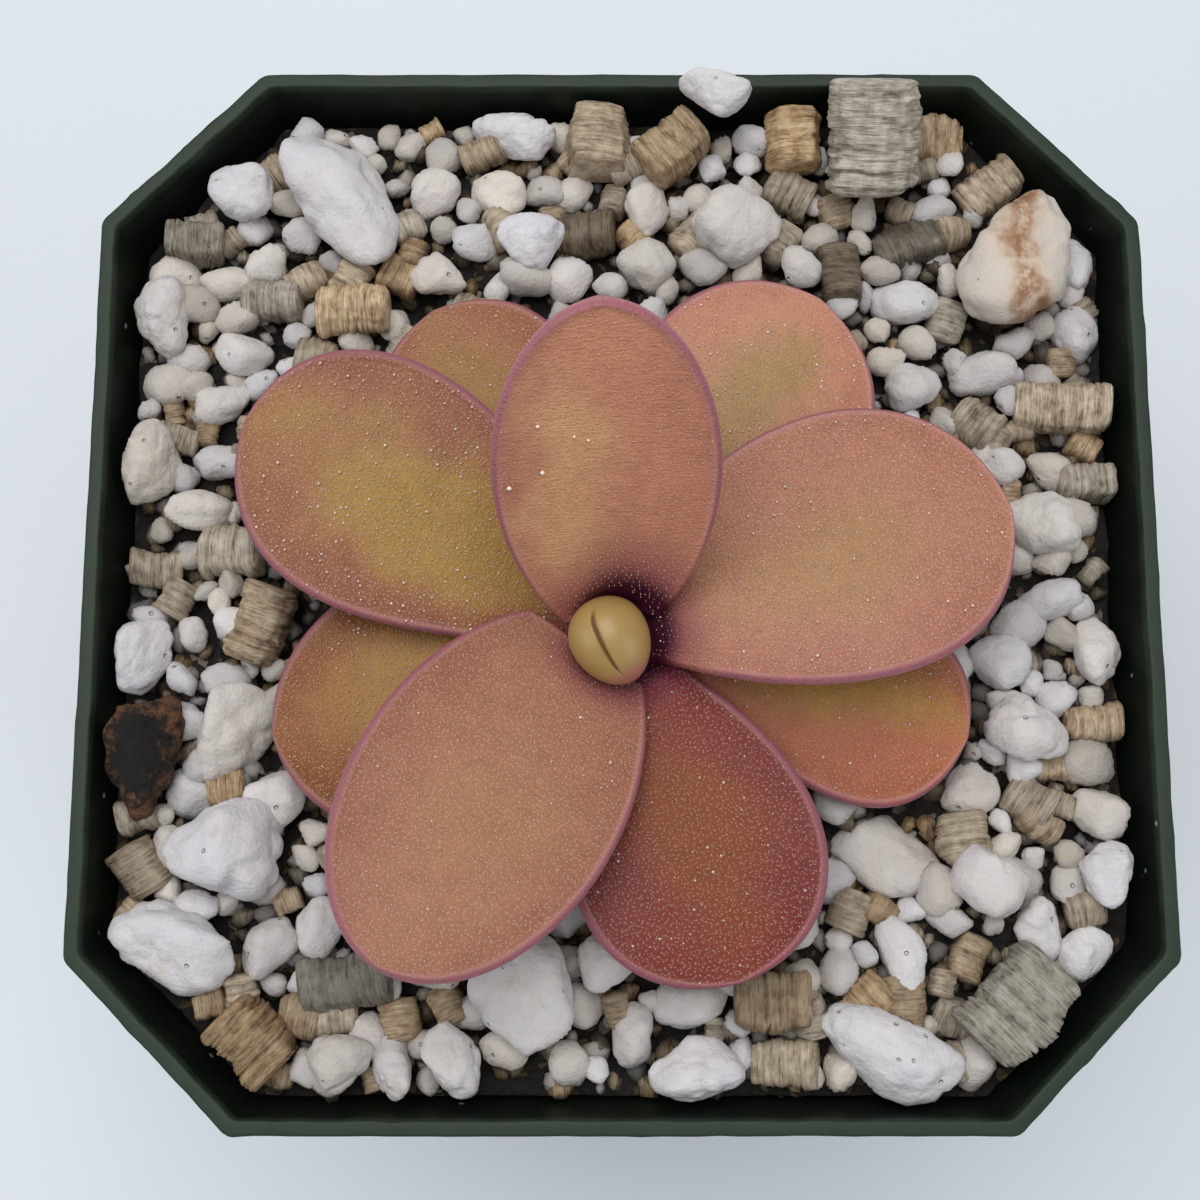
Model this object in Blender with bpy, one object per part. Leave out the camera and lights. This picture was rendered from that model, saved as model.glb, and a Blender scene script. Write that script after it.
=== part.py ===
"""A butterwort, a flat rosette of broad sticky leaves, growing in a small square nursery pot.

The pot stands on z = 0 with its middle on the origin. +X is the right side of the plant as
seen from the front, +Y is its back and +Z is up. The pot is filled with a loose mix of
white perlite and brown vermiculite. The larger lumps of it are solids of their own, and the
smaller ones are fused to the bed that they lie on. Nine leaves grow round a short crown,
each a little lower and flatter than the one before it, and a young leaf is still furled in
the middle.
"""

import math

import bmesh
import bpy
import numpy as np

# Every size below is in millimetres, and MM turns them into Blender's metres
MM = 0.001
GAP = 0.3

# Pot: the heights and half widths of its outside and of its inside
POT_OUTSIDE = ((0.0, 26.0), (54.0, 34.8), (54.8, 36.6), (65.0, 37.7), (65.3, 38.0), (66.0, 38.0))
POT_INSIDE = ((66.0, 36.95), (56.0, 35.7), (55.0, 33.95), (2.6, 25.35))
WALL = 1.05
CORNER_SHARE = 11.5 / 38.0
CORNER_INSET = 2.0 - math.sqrt(2.0)
FOOT_INSIDE = 24.6
PANEL_UNDERSIDE = 1.4
# Drain holes: place and radius, and the heights that they are cut between
DRAIN_HOLES = ((0.0, 0.0, 4.0), (15.0, 15.0, 3.0), (-15.0, 15.0, 3.0),
               (-15.0, -15.0, 3.0), (15.0, -15.0, 3.0))
DRAIN_REACH = (0.5, 3.5)
DRAIN_SIDES = 10

# Bed of the mix, which fills the pot up to BED_TOP
BED_TOP = 62.0
BED_LEVELS = ((2.9, 25.1), (55.3, 33.65), (56.3, 35.35), (BED_TOP, 36.1))

# Crown: the short upright stem, with its foot in a hole in the bed. The hole is cut from
# CROWN_HOLE_BOTTOM to HOLE_LIFT above the bed.
CROWN_X = -0.62
CROWN_Y = -4.85
CROWN_PROFILE = ((57.0, 1.5), (58.2, 2.0), (68.0, 2.05), (68.6, 1.5))
CROWN_SIDES = 14
CROWN_HOLE_RADIUS = 2.5
CROWN_HOLE_BOTTOM = 56.7
HOLE_LIFT = 10.0

# Leaves, youngest first. Azimuth is the way a leaf points, sweep turns it along its length,
# rise is how steeply it climbs at its foot and at its tip, and roll tips it sideways, all in
# degrees. Fullness above 1 puts the widest place nearer the tip, cup lifts the margins,
# base is the height of the foot, neck is the share of the width left there, and shift moves
# the foot sideways round the crown.
LEAF_FIELDS = ("azimuth", "length", "width", "fullness", "sweep", "rise_foot", "rise_tip",
               "roll", "cup", "base", "neck", "shift")
LEAVES = (
    (93, 25.27, 14.29, 1.10, -1, 58, 47, 2, 0.10, 69.73, 0.42, 0.0),
    (239, 26.24, 17.59, 1.00, 0, 30, 10, -4, 0.00, 68.76, 0.52, -1.36),
    (20, 27.70, 19.54, 1.35, -20, 28, -16, -12, -0.03, 68.18, 0.26, 0.39),
    (147, 28.19, 17.59, 1.60, 15, 21, -2, -5, 0.00, 66.81, 0.33, 0.0),
    (291, 23.33, 17.11, 1.50, -6, 20, -5, 0, 0.00, 66.52, 0.40, 0.0),
    (60, 27.70, 17.59, 1.60, -5, 12, -8, 4, -0.05, 65.84, 0.34, 0.0),
    (197, 23.04, 19.25, 0.90, -8, 12, -6, 0, -0.05, 65.16, 0.38, 0.0),
    (347, 24.30, 13.90, 2.00, -10, 9, -6, 0, -0.05, 64.36, 0.38, 0.0),
    (117, 26.73, 14.97, 2.00, 4, 7, -4, 0, -0.05, 63.70, 0.36, 0.0),
)
LEAF_ROWS = 12
LEAF_COLUMNS = 8
LEAF_LAST_ANGLE = math.radians(171.0)
LEAF_START = 1.46
LEAF_CLASP = 2.43
MARGIN_THICKNESS = 0.6
MIDRIB_THICKNESS = 1.1
# Equal lengths that a midrib is walked in, the share of it at which the sweep is nought, and
# how quickly the neck narrows
MIDRIB_STEPS = 240
SWEEP_MIDDLE = 0.3
NECK_POWER = 2.5

# Furled leaf: an egg-shaped roll with a slit along its top. Its rings have points at the
# SLIT_OFFSETS from the slit, as angles.
HEART_CENTRE = (-0.77, -5.43, 71.77)
HEART_HALF_LENGTH = 3.06
HEART_HALF_WIDTH = 2.67
HEART_HALF_HEIGHT = 2.77
HEART_EGG = 0.12
HEART_HEADING = math.radians(-62.0)
HEART_STATIONS = 12
SLIT_ANGLE = math.radians(98.0)
SLIT_DEPTH = 0.34
SLIT_WIDTH = 0.16
SLIT_OFFSETS = (0.0, 0.12, 0.38, 0.8, 1.35, 1.9, 2.5, 3.14, 3.78, 4.38, 4.93, 5.48, 5.9, 6.16)

# Larger lumps of the mix, each a solid of its own: kind, place across the pot, length and
# width as seen from above, and the way the length points in degrees
LUMPS = (
    ("stained_perlite", 29.2, 24.0, 10.7, 8.2, 75),
    ("perlite", -20.5, 29.0, 11.7, 6.8, -54),
    ("perlite", -27.8, -18.9, 8.4, 7.0, 0),
    ("vermiculite", 18.6, 32.5, 8.3, 6.8, 90),
    ("perlite", -6.7, -28.3, 8.9, 7.0, 90),
    ("perlite", -31.0, -25.9, 9.2, 6.0, -15),
    ("perlite", 18.2, -32.9, 10.3, 5.2, -25),
    ("vermiculite", 27.2, -29.6, 7.6, 5.6, 45),
    ("charcoal", -33.6, -12.5, 8.3, 5.2, 90),
    ("perlite", -27.4, -11.0, 7.4, 5.8, 80),
    ("perlite", 18.9, -19.5, 8.3, 5.8, -5),
    ("perlite", 8.7, 27.0, 6.8, 5.8, 0),
    ("vermiculite", -25.4, -31.9, 5.5, 4.7, -45),
    ("perlite", -11.7, -33.3, 5.6, 3.9, -75),
    ("perlite", -19.4, -33.7, 4.7, 4.3, 0),
    ("perlite", 5.1, -33.9, 6.8, 4.3, 0),
    ("perlite", 25.6, -21.4, 5.4, 5.1, 90),
    ("vermiculite", -19.1, -28.2, 6.4, 3.9, 10),
    ("perlite", -28.2, 29.6, 4.7, 4.3, 0),
    ("vermiculite", 32.4, 12.9, 7.0, 3.9, -5),
    ("perlite", -34.0, 20.0, 6.6, 4.3, 90),
    ("perlite", 30.6, 4.4, 5.8, 4.7, -20),
    ("perlite", 28.8, -10.6, 5.8, 4.9, 0),
    ("vermiculite", 10.4, -29.6, 5.4, 4.1, 0),
    ("perlite", -34.1, 8.9, 6.3, 4.1, 90),
    ("perlite", -8.1, 34.2, 6.4, 3.6, -10),
    ("vermiculite", -1.6, 33.7, 5.1, 4.7, 90),
    ("vermiculite", -31.8, 25.8, 4.3, 3.1, 0),
    ("vermiculite", -19.8, 20.8, 5.4, 4.1, 0),
    ("vermiculite", 4.0, 32.9, 5.4, 4.1, 40),
    ("perlite", 33.9, -20.9, 4.6, 3.8, 90),
    ("perlite", -15.8, -33.8, 4.7, 2.7, 90),
    ("perlite", -34.2, -5.3, 5.6, 3.9, 90),
    ("vermiculite", -25.9, -3.0, 5.8, 4.1, 70),
    ("perlite", -0.7, -26.8, 4.7, 4.3, 0),
    ("vermiculite", 13.2, 33.7, 4.7, 4.1, 90),
    ("perlite", -6.7, 25.7, 5.1, 4.3, 0),
    ("perlite", 7.0, 35.9, 5.4, 3.8, 0),
)
# Lumps that stand or lean, by their place in the list: slope in degrees, top, and underside
LEANING = {3: (30.0, 71.2, BED_TOP + GAP), 8: (0.0, 66.7, BED_TOP + GAP),
           37: (0.0, 69.2, 66.0 + GAP)}
# How steeply the other lumps may lie, and how high their tops rise: a height, and a share of
# the width
LUMP_LEAN = 8.0
LUMP_RISE = (1.2, 0.62)
SMALL_RISE = (0.9, 0.45)
# Height of a lump as a share of its width, and the least height
LUMP_FLATNESS = 0.85
LUMP_HEIGHT = 3.0

# Smaller lumps, fused to the bed: place, length, width and heading
SMALL_LUMPS = (
    (34.3, -4.8, 5.4, 3.3, 90), (4.8, -29.4, 5.4, 3.6, 0), (33.6, -16.6, 4.3, 3.7, 0),
    (27.2, 15.9, 5.6, 3.3, 0), (19.6, -26.2, 6.4, 3.1, -70), (21.8, 14.8, 4.3, 4.1, 0),
    (1.9, 24.2, 4.5, 4.3, 90), (-24.6, -25.9, 4.5, 4.1, 90), (-28.2, 2.5, 4.5, 4.1, 0),
    (-24.6, -15.4, 4.3, 4.1, 0), (21.6, 26.0, 5.2, 3.5, 20), (21.3, 21.4, 5.2, 3.5, 0),
    (27.2, -5.6, 4.5, 3.9, 0), (28.0, 30.4, 4.9, 3.5, 35), (33.8, 18.9, 4.3, 3.5, 90),
    (-30.8, 5.4, 5.1, 3.1, 0), (-25.9, 21.5, 4.5, 3.5, 0), (-9.2, 29.8, 4.4, 3.5, 0),
    (2.0, 28.6, 4.3, 3.4, 90), (-2.6, 26.8, 4.5, 3.5, 0), (-21.0, -24.4, 4.3, 3.5, 90),
    (-28.0, 17.3, 4.3, 3.5, 0), (-13.7, 23.6, 4.5, 3.3, 0), (16.6, 23.6, 4.3, 3.3, 90),
    (31.1, -1.1, 4.7, 3.1, 0), (34.1, 7.4, 4.3, 2.9, 0), (11.4, -33.6, 4.7, 3.1, 0),
    (0.8, -31.9, 4.4, 2.9, 90), (23.9, 34.3, 3.9, 3.5, 0), (-29.3, 22.8, 4.3, 2.8, 0),
    (-29.6, 9.2, 4.4, 2.6, 0), (-33.9, 1.2, 3.9, 2.9, 0), (-14.2, 29.8, 4.5, 3.5, 60),
    (24.8, -14.8, 4.3, 3.7, 30), (11.6, -24.3, 4.5, 3.5, 20), (-13.1, -27.2, 4.5, 3.3, 0),
    (34.1, 24.3, 4.6, 2.6, 90), (29.2, -24.6, 4.8, 3.4, 90), (32.4, -26.0, 4.2, 3.2, 45),
    (33.8, -10.2, 4.2, 2.7, 0), (-29.4, 13.4, 4.4, 3.0, 0),
)

# Filling grains, thrown on a loose grid of staggered rows between the lumps. Squash and
# height are shares of a grain's length, and rise is how far its top stands above the bed, as
# a share of its radius. Shrinks are the sizes that are tried until one is clear.
GRAIN_PITCH = 3.3
GRAIN_ROW_SHARE = 0.9
GRAIN_JITTER = 0.9
GRAIN_RADII = (1.35, 2.0)
GRAIN_SQUASH = (0.7, 1.0)
GRAIN_HEIGHT = 0.8
GRAIN_RISE = (0.95, 1.35)
GRAIN_SEED = 20
GRAIN_WALL = 35.9
GRAIN_CORNER = 60.6
CORNER_REACH = 1.2
GRAIN_SHRINKS = (1.0, 0.85, 0.7)
LUMP_SHRINKS = (1.0, 0.9, 0.8, 0.7, 0.6)
# Least distances of a lump or grain from a leaf above it, and of a grain from a larger lump
# and from the hole for the crown
LEAF_CLEARANCE = 1.0
LEAF_REACH = 0.6
ROOF_GRID = (24, 16)
LUMP_CLEARANCE = 0.4
# Share of a small lump's length and width together that grains keep away from its middle, and
# how far below the top of the bed the middle of a grain may lie
SMALL_LUMP_SHARE = 0.35
GRAIN_DEPTH = 0.6
# Lumps farther away than this from a grain are passed over
NEIGHBOUR = 3.5

# Stones are rounded off from planes, at distances between the STONE_DEPTHS, and flakes are
# stacks of plates. Seeds keep the random choices the same each time.
STONE_PLANES = 22
STONE_DEPTHS = (0.84, 1.1)
STONE_SHARPNESS = 6.0
LEAST_FACING = 0.2
PLATE_RADII = (0.84, 1.0, 0.88, 1.0, 0.88, 1.0, 0.86)
PLATE_SIDES = 8
PLATE_SQUARENESS = 0.6
LUMP_SEED = 100
SMALL_SEED = 500
STONE_SEED = 1000

# Base colours, with how rough each material is
POT_GREEN = ((0.018, 0.045, 0.026), 0.45)
MIX_BROWN = ((0.30, 0.24, 0.18), 0.95)
CROWN_PURPLE = ((0.10, 0.03, 0.04), 0.6)
HEART_YELLOW = ((0.47, 0.38, 0.13), 0.4)
LEAF_ROSE = ((0.42, 0.18, 0.13), 0.4)
LEAF_WINE = ((0.26, 0.07, 0.07), 0.4)
LEAF_OCHRE = ((0.40, 0.21, 0.10), 0.4)
LEAF_COLOURS = (LEAF_ROSE, LEAF_ROSE, LEAF_ROSE, LEAF_ROSE, LEAF_WINE,
                LEAF_OCHRE, LEAF_OCHRE, LEAF_OCHRE, LEAF_OCHRE)
LUMP_COLOURS = {
    "perlite": ((0.80, 0.78, 0.76), 0.9),
    "stained_perlite": ((0.66, 0.52, 0.42), 0.9),
    "vermiculite": ((0.40, 0.31, 0.19), 0.7),
    "charcoal": ((0.05, 0.03, 0.02), 0.9),
}


def clear_scene():
    for old in list(bpy.data.objects):
        bpy.data.objects.remove(old, do_unlink=True)


def material(name, look):
    """A plain surface of one base colour and roughness."""
    colour, roughness = look
    surface = bpy.data.materials.new(name)
    surface.use_nodes = True
    shader = surface.node_tree.nodes["Principled BSDF"]
    shader.inputs["Base Color"].default_value = (*colour, 1.0)
    shader.inputs["Roughness"].default_value = roughness
    return surface


def solid(name, points, faces, look):
    """An object from points in millimetres, with its faces turned outwards."""
    mesh = bpy.data.meshes.new(name)
    mesh.from_pydata((np.asarray(points) * MM).tolist(), [], faces)
    shell = bmesh.new()
    shell.from_mesh(mesh)
    bmesh.ops.recalc_face_normals(shell, faces=shell.faces)
    bmesh.ops.triangulate(shell, faces=shell.faces)
    shell.to_mesh(mesh)
    shell.free()
    mesh.materials.append(look)
    made = bpy.data.objects.new(name, mesh)
    bpy.context.scene.collection.objects.link(made)
    return made


def ring_faces(rings, sides):
    """Four-sided faces between closed rings of points, with a lid on the first and last."""
    faces = [tuple(range(sides)), tuple(range((rings - 1) * sides, rings * sides))]
    for ring in range(rings - 1):
        low = ring * sides
        for side in range(sides):
            after = (side + 1) % sides
            faces.append((low + side, low + after, low + sides + after, low + sides + side))
    return faces


def apply_modifiers(made):
    """Puts the result of an object's modifiers into its mesh."""
    bpy.context.view_layer.update()
    graph = bpy.context.evaluated_depsgraph_get()
    result = bpy.data.meshes.new_from_object(made.evaluated_get(graph))
    made.modifiers.clear()
    made.data = result


# Pot

def pot_section(height, half, corner):
    """Eight points round the pot at one height: a square with its corners cut off."""
    short = half - corner
    return [(half, -short, height), (half, short, height), (short, half, height),
            (-short, half, height), (-half, short, height), (-half, -short, height),
            (-short, -half, height), (short, -half, height)]


def corner_inside(half, inset):
    """How much of a corner is cut off on a wall that lies inset from the outside."""
    return CORNER_SHARE * (half + inset) - CORNER_INSET * inset


def drill(name, x, y, radius, bottom, top, sides):
    """A cutter in the form of a round hole."""
    turn = np.arange(sides) * 2.0 * math.pi / sides
    rings = [np.stack([x + radius * np.cos(turn), y + radius * np.sin(turn),
                       np.full(sides, height)], 1) for height in (bottom, top)]
    cutter = solid(name, np.concatenate(rings), ring_faces(2, sides), None)
    cutter.hide_render = True
    cutter.display_type = "WIRE"
    return cutter


def cut(made, cutter, solver="EXACT"):
    bore = made.modifiers.new(cutter.name, "BOOLEAN")
    bore.operation = "DIFFERENCE"
    bore.solver = solver
    bore.object = cutter


def build_pot():
    """A thin tapered shell with a stepped collar, on a foot ring, with drain holes."""
    sections = [pot_section(PANEL_UNDERSIDE, FOOT_INSIDE, corner_inside(FOOT_INSIDE, WALL)),
                pot_section(0.0, FOOT_INSIDE, corner_inside(FOOT_INSIDE, WALL))]
    for height, half in POT_OUTSIDE:
        sections.append(pot_section(height, half, CORNER_SHARE * half))
    for height, half in POT_INSIDE:
        sections.append(pot_section(height, half, corner_inside(half, WALL)))
    points = [point for section in sections for point in section]
    pot = solid("pot", points, ring_faces(len(sections), 8), material("pot_plastic", POT_GREEN))
    for number, (x, y, radius) in enumerate(DRAIN_HOLES, 1):
        cut(pot, drill(f"drain_{number}", x, y, radius, *DRAIN_REACH, DRAIN_SIDES))


# Plant

def leaf_surface(leaf, rows, columns):
    """Middle surface of a leaf and its upward direction, as grids of points.

    The midrib starts at the crown and climbs at an angle that changes evenly from foot to
    tip. The rows follow equal steps of the angle t of a circle, and the half width is
    sin(t), widened by the neck near the foot. Across a row the surface is a straight line
    bent by the cup.
    """
    angle = np.linspace(0.0, LEAF_LAST_ANGLE, rows + 1)
    along = ((1.0 - np.cos(angle)) / 2.0) ** (1.0 / leaf["fullness"])
    across = np.sin(np.linspace(-1.0, 1.0, columns + 1) * math.pi / 2.0)
    fine = np.linspace(0.0, 1.0, MIDRIB_STEPS + 1)

    def tangent(share):
        turn = np.radians(leaf["azimuth"] + leaf["sweep"] * (share - SWEEP_MIDDLE))
        climb = np.radians(leaf["rise_foot"] + (leaf["rise_tip"] - leaf["rise_foot"]) * share)
        return turn, np.stack([np.cos(turn) * np.cos(climb), np.sin(turn) * np.cos(climb),
                               np.sin(climb)], 1)

    _, steps = tangent(fine)
    travelled = np.zeros((len(fine), 3))
    step = leaf["length"] / MIDRIB_STEPS
    travelled[1:] = np.cumsum((steps[1:] + steps[:-1]) / 2.0 * step, 0)
    heading = math.radians(leaf["azimuth"])
    foot = np.array([CROWN_X + LEAF_START * math.cos(heading) - leaf["shift"] * math.sin(heading),
                     CROWN_Y + LEAF_START * math.sin(heading) + leaf["shift"] * math.cos(heading),
                     leaf["base"]])
    midrib = foot + np.stack([np.interp(along, fine, travelled[:, i]) for i in range(3)], 1)

    turn, forward = tangent(along)
    side = np.stack([-np.sin(turn), np.cos(turn), np.zeros_like(turn)], 1)
    up = np.cross(forward, side)
    roll = math.radians(leaf["roll"])
    side = side * math.cos(roll) + up * math.sin(roll)
    up = np.cross(forward, side)
    neck = leaf["neck"] * (1.0 - along) ** NECK_POWER
    half = leaf["width"] / 2.0 * np.hypot(np.sin(angle), neck)
    points = (midrib[:, None] + side[:, None] * (half[:, None] * across)[..., None]
              + up[:, None] * (leaf["cup"] * half[:, None] * across ** 2)[..., None])
    return points, np.broadcast_to(up[:, None], points.shape), across


def clasp(points):
    """Pushes points out from the crown's axis so that none is nearer than LEAF_CLASP."""
    centre = np.array([CROWN_X, CROWN_Y])
    offset = points[..., :2] - centre
    distance = np.maximum(np.linalg.norm(offset, axis=-1, keepdims=True), 1e-6)
    pushed = (distance ** 4 + LEAF_CLASP ** 4) ** 0.25
    moved = points.copy()
    moved[..., :2] = centre + offset * pushed / distance
    return moved


def leaf_mesh(leaf):
    """Both faces of a leaf, split into triangles alike, and the narrow edge round it."""
    middle, up, across = leaf_surface(leaf, LEAF_ROWS, LEAF_COLUMNS)
    swell = (MIDRIB_THICKNESS - MARGIN_THICKNESS) * (1.0 - across ** 2)
    half = ((MARGIN_THICKNESS + swell) / 2.0)[None, :, None]
    points = np.concatenate([clasp(middle + up * half).reshape(-1, 3),
                             clasp(middle - up * half).reshape(-1, 3)])
    wide = LEAF_COLUMNS + 1
    under = wide * (LEAF_ROWS + 1)
    faces = []
    for row in range(LEAF_ROWS):
        for column in range(LEAF_COLUMNS):
            a = row * wide + column
            b, c, d = a + 1, a + 1 + wide, a + wide
            faces += [(a, b, c), (a, c, d), (under + a, under + c, under + b),
                      (under + a, under + d, under + c)]
    border = list(range(LEAF_COLUMNS))
    border += [row * wide + LEAF_COLUMNS for row in range(LEAF_ROWS)]
    border += [LEAF_ROWS * wide + column for column in range(LEAF_COLUMNS, 0, -1)]
    border += [row * wide for row in range(LEAF_ROWS, 0, -1)]
    for a, b in zip(border, border[1:] + border[:1]):
        faces += [(a, under + a, under + b), (a, under + b, b)]
    return points, faces


def named_leaves():
    return [dict(zip(LEAF_FIELDS, values)) for values in LEAVES]


def build_leaves():
    for number, (leaf, look) in enumerate(zip(named_leaves(), LEAF_COLOURS), 1):
        points, faces = leaf_mesh(leaf)
        solid(f"leaf_{number}", points, faces, material(f"leaf_{number}_skin", look))


def build_crown():
    turn = np.arange(CROWN_SIDES) * 2.0 * math.pi / CROWN_SIDES
    rings = [np.stack([CROWN_X + radius * np.cos(turn), CROWN_Y + radius * np.sin(turn),
                       np.full(CROWN_SIDES, height)], 1) for height, radius in CROWN_PROFILE]
    solid("crown", np.concatenate(rings), ring_faces(len(rings), CROWN_SIDES),
          material("crown_skin", CROWN_PURPLE))


def build_heart_leaf():
    """Rings across the furled leaf, each an ellipse with a notch where the slit runs."""
    length_angle = np.linspace(0.0, math.pi, HEART_STATIONS + 2)[1:-1]
    psi = SLIT_ANGLE + np.array(SLIT_OFFSETS)
    away = np.minimum(np.array(SLIT_OFFSETS), 2.0 * math.pi - np.array(SLIT_OFFSETS))
    notch = np.exp(-(away / SLIT_WIDTH) ** 2)
    rings = []
    for angle in length_angle:
        share = math.cos(angle)
        girth = math.sin(angle) * (1.0 + HEART_EGG * share)
        radius = girth * (1.0 - SLIT_DEPTH * (1.0 - share ** 4) * notch)
        rings.append(np.stack([np.full(len(psi), -share * HEART_HALF_LENGTH),
                               radius * HEART_HALF_WIDTH * np.cos(psi),
                               radius * HEART_HALF_HEIGHT * np.sin(psi)], 1))
    local = np.concatenate(rings)
    cos, sin = math.cos(HEART_HEADING), math.sin(HEART_HEADING)
    points = np.stack([local[:, 0] * cos - local[:, 1] * sin,
                       local[:, 0] * sin + local[:, 1] * cos, local[:, 2]], 1)
    solid("heart_leaf", points + HEART_CENTRE, ring_faces(HEART_STATIONS, len(psi)),
          material("heart_leaf_skin", HEART_YELLOW))


# Mix

def ball(subdivisions):
    """Directions and triangles of an evenly divided ball."""
    shell = bmesh.new()
    bmesh.ops.create_icosphere(shell, subdivisions=subdivisions, radius=1.0)
    points = np.array([corner.co for corner in shell.verts])
    faces = [tuple(corner.index for corner in face.verts) for face in shell.faces]
    shell.free()
    return points, faces


def stone_form(directions, seed):
    """A lump as wide as 2 each way: rounded off from a few planes at random distances.

    The reach in a direction is (sum of (d . n / h)^p)^(-1/p) over the planes that face it,
    with n the planes' directions, h their distances and p the sharpness of the edges. The sum
    is kept above LEAST_FACING, so that no side without a plane of its own sticks out.
    """
    random = np.random.default_rng(seed)
    planes = random.normal(size=(STONE_PLANES, 3))
    planes /= np.linalg.norm(planes, axis=1, keepdims=True)
    depth = random.uniform(*STONE_DEPTHS, STONE_PLANES)
    facing = np.maximum(directions @ planes.T, 0.0) / depth
    reach = np.maximum((facing ** STONE_SHARPNESS).sum(1), LEAST_FACING)
    points = directions * (reach ** (-1.0 / STONE_SHARPNESS))[:, None]
    low, high = points.min(0), points.max(0)
    return (points - (low + high) / 2.0) / ((high - low) / 2.0)


def plate_form(seed):
    """A stack of thin plates along X, with a narrower ring between each two of them."""
    random = np.random.default_rng(seed)
    turn = (np.arange(PLATE_SIDES) + random.uniform(-0.25, 0.25, PLATE_SIDES)) * 2.0 * math.pi
    turn = turn / PLATE_SIDES
    outline = 1.0 / np.maximum(np.abs(np.cos(turn)), np.abs(np.sin(turn))) ** PLATE_SQUARENESS
    outline *= random.uniform(0.85, 1.0, PLATE_SIDES)
    rings = []
    for share, radius in zip(np.linspace(-1.0, 1.0, len(PLATE_RADII)), PLATE_RADII):
        shift = random.uniform(-0.05, 0.05, 2)
        rings.append(np.stack([np.full(PLATE_SIDES, share),
                               radius * outline * np.cos(turn) + shift[0],
                               radius * outline * np.sin(turn) + shift[1]], 1))
    points = np.concatenate(rings)
    low, high = points.min(0), points.max(0)
    points = (points - (low + high) / 2.0) / ((high - low) / 2.0)
    return points, ring_faces(len(PLATE_RADII), PLATE_SIDES)


def turned(points, heading, slope, tilt):
    """Rolls points about X by tilt, lifts +X by slope, then turns them to their heading."""
    a, b, c = math.radians(heading), math.radians(slope), math.radians(tilt)
    roll = np.array([[1, 0, 0], [0, math.cos(c), -math.sin(c)], [0, math.sin(c), math.cos(c)]])
    lift = np.array([[math.cos(b), 0, -math.sin(b)], [0, 1, 0], [math.sin(b), 0, math.cos(b)]])
    yaw = np.array([[math.cos(a), -math.sin(a), 0], [math.sin(a), math.cos(a), 0], [0, 0, 1]])
    return points @ (yaw @ lift @ roll).T


def ceiling(x, y, reach, leaf_points):
    """The height that a lump at x, y may reach without touching a leaf above it."""
    near = np.hypot(leaf_points[:, 0] - x, leaf_points[:, 1] - y) < reach + LEAF_REACH
    if not near.any():
        return math.inf
    return leaf_points[near, 2].min() - LEAF_CLEARANCE


def half_sizes(length, width):
    """Half sizes of a lump, from its size seen from above."""
    return np.array([length, width, max(LUMP_FLATNESS * width, LUMP_HEIGHT)]) / 2.0


def lump_points(number, leaf_points):
    """Points and faces of one of the LUMPS, resting on the bed."""
    kind, x, y, length, width, heading = LUMPS[number]
    random = np.random.default_rng(LUMP_SEED + number)
    slope, tilt = random.uniform(-LUMP_LEAN, LUMP_LEAN, 2)
    top = BED_TOP + LUMP_RISE[0] + LUMP_RISE[1] * width
    if number in LEANING:
        slope, top, _ = LEANING[number]
    else:
        top = min(top, ceiling(x, y, length / 2.0, leaf_points))
    if kind == "vermiculite":
        points, faces = plate_form(number)
    else:
        directions, faces = ball(2)
        points = stone_form(directions, number)
    points = turned(points * half_sizes(length, width), heading, slope, tilt)
    points += (x, y, 0.0)
    points[:, 2] += top - points[:, 2].max()
    return points, faces


def saw_flat(made, height):
    """Cuts an object off flat at a height and closes it there."""
    shell = bmesh.new()
    shell.from_mesh(made.data)
    parts = shell.verts[:] + shell.edges[:] + shell.faces[:]
    bmesh.ops.bisect_plane(shell, geom=parts, dist=1e-7, plane_co=(0.0, 0.0, height * MM),
                           plane_no=(0.0, 0.0, 1.0), clear_inner=True)
    open_edges = [edge for edge in shell.edges if edge.is_boundary]
    bmesh.ops.holes_fill(shell, edges=open_edges, sides=0)
    bmesh.ops.recalc_face_normals(shell, faces=shell.faces)
    bmesh.ops.triangulate(shell, faces=shell.faces)
    shell.to_mesh(made.data)
    shell.free()


def build_lumps(leaf_points):
    """The larger lumps as nodes. Returns the points of each, for the grains to keep clear."""
    looks = {kind: material(kind, look) for kind, look in LUMP_COLOURS.items()}
    counts = dict.fromkeys(looks, 0)
    placed = []
    for number, (kind, *_) in enumerate(LUMPS):
        points, faces = lump_points(number, leaf_points)
        counts[kind] += 1
        lump = solid(f"{kind}_{counts[kind]:02d}", points, faces, looks[kind])
        saw_flat(lump, LEANING.get(number, (0, 0, BED_TOP + GAP))[2])
        placed.append(points)
    return placed


def touches(points, others):
    """Whether any of a grain's points comes nearer than LUMP_CLEARANCE to a lump's hull."""
    centre = points.mean(0)
    for other in others:
        middle = (other.min(0) + other.max(0)) / 2.0
        reach = np.linalg.norm(other - middle, axis=1).max()
        if np.linalg.norm(centre - middle) > reach + NEIGHBOUR:
            continue
        rays = points - middle
        far = np.linalg.norm(rays, axis=1)
        towards = rays / far[:, None]
        spokes = other - middle
        lengths = np.linalg.norm(spokes, axis=1)
        alike = towards @ (spokes / lengths[:, None]).T
        nearest = np.argsort(-alike, axis=1)[:, :3]
        hull = lengths[nearest].max(1)
        if (far < hull + LUMP_CLEARANCE).any():
            return True
        back = other - centre
        if (np.linalg.norm(back, axis=1) < np.linalg.norm(points - centre, axis=1).mean()
                + LUMP_CLEARANCE).any():
            return True
    return False


def inside_pot(x, y, radius):
    """Whether a grain lies clear of the walls and of the cut corners."""
    return (max(abs(x), abs(y)) + radius < GRAIN_WALL
            and abs(x) + abs(y) + CORNER_REACH * radius < GRAIN_CORNER)


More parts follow.
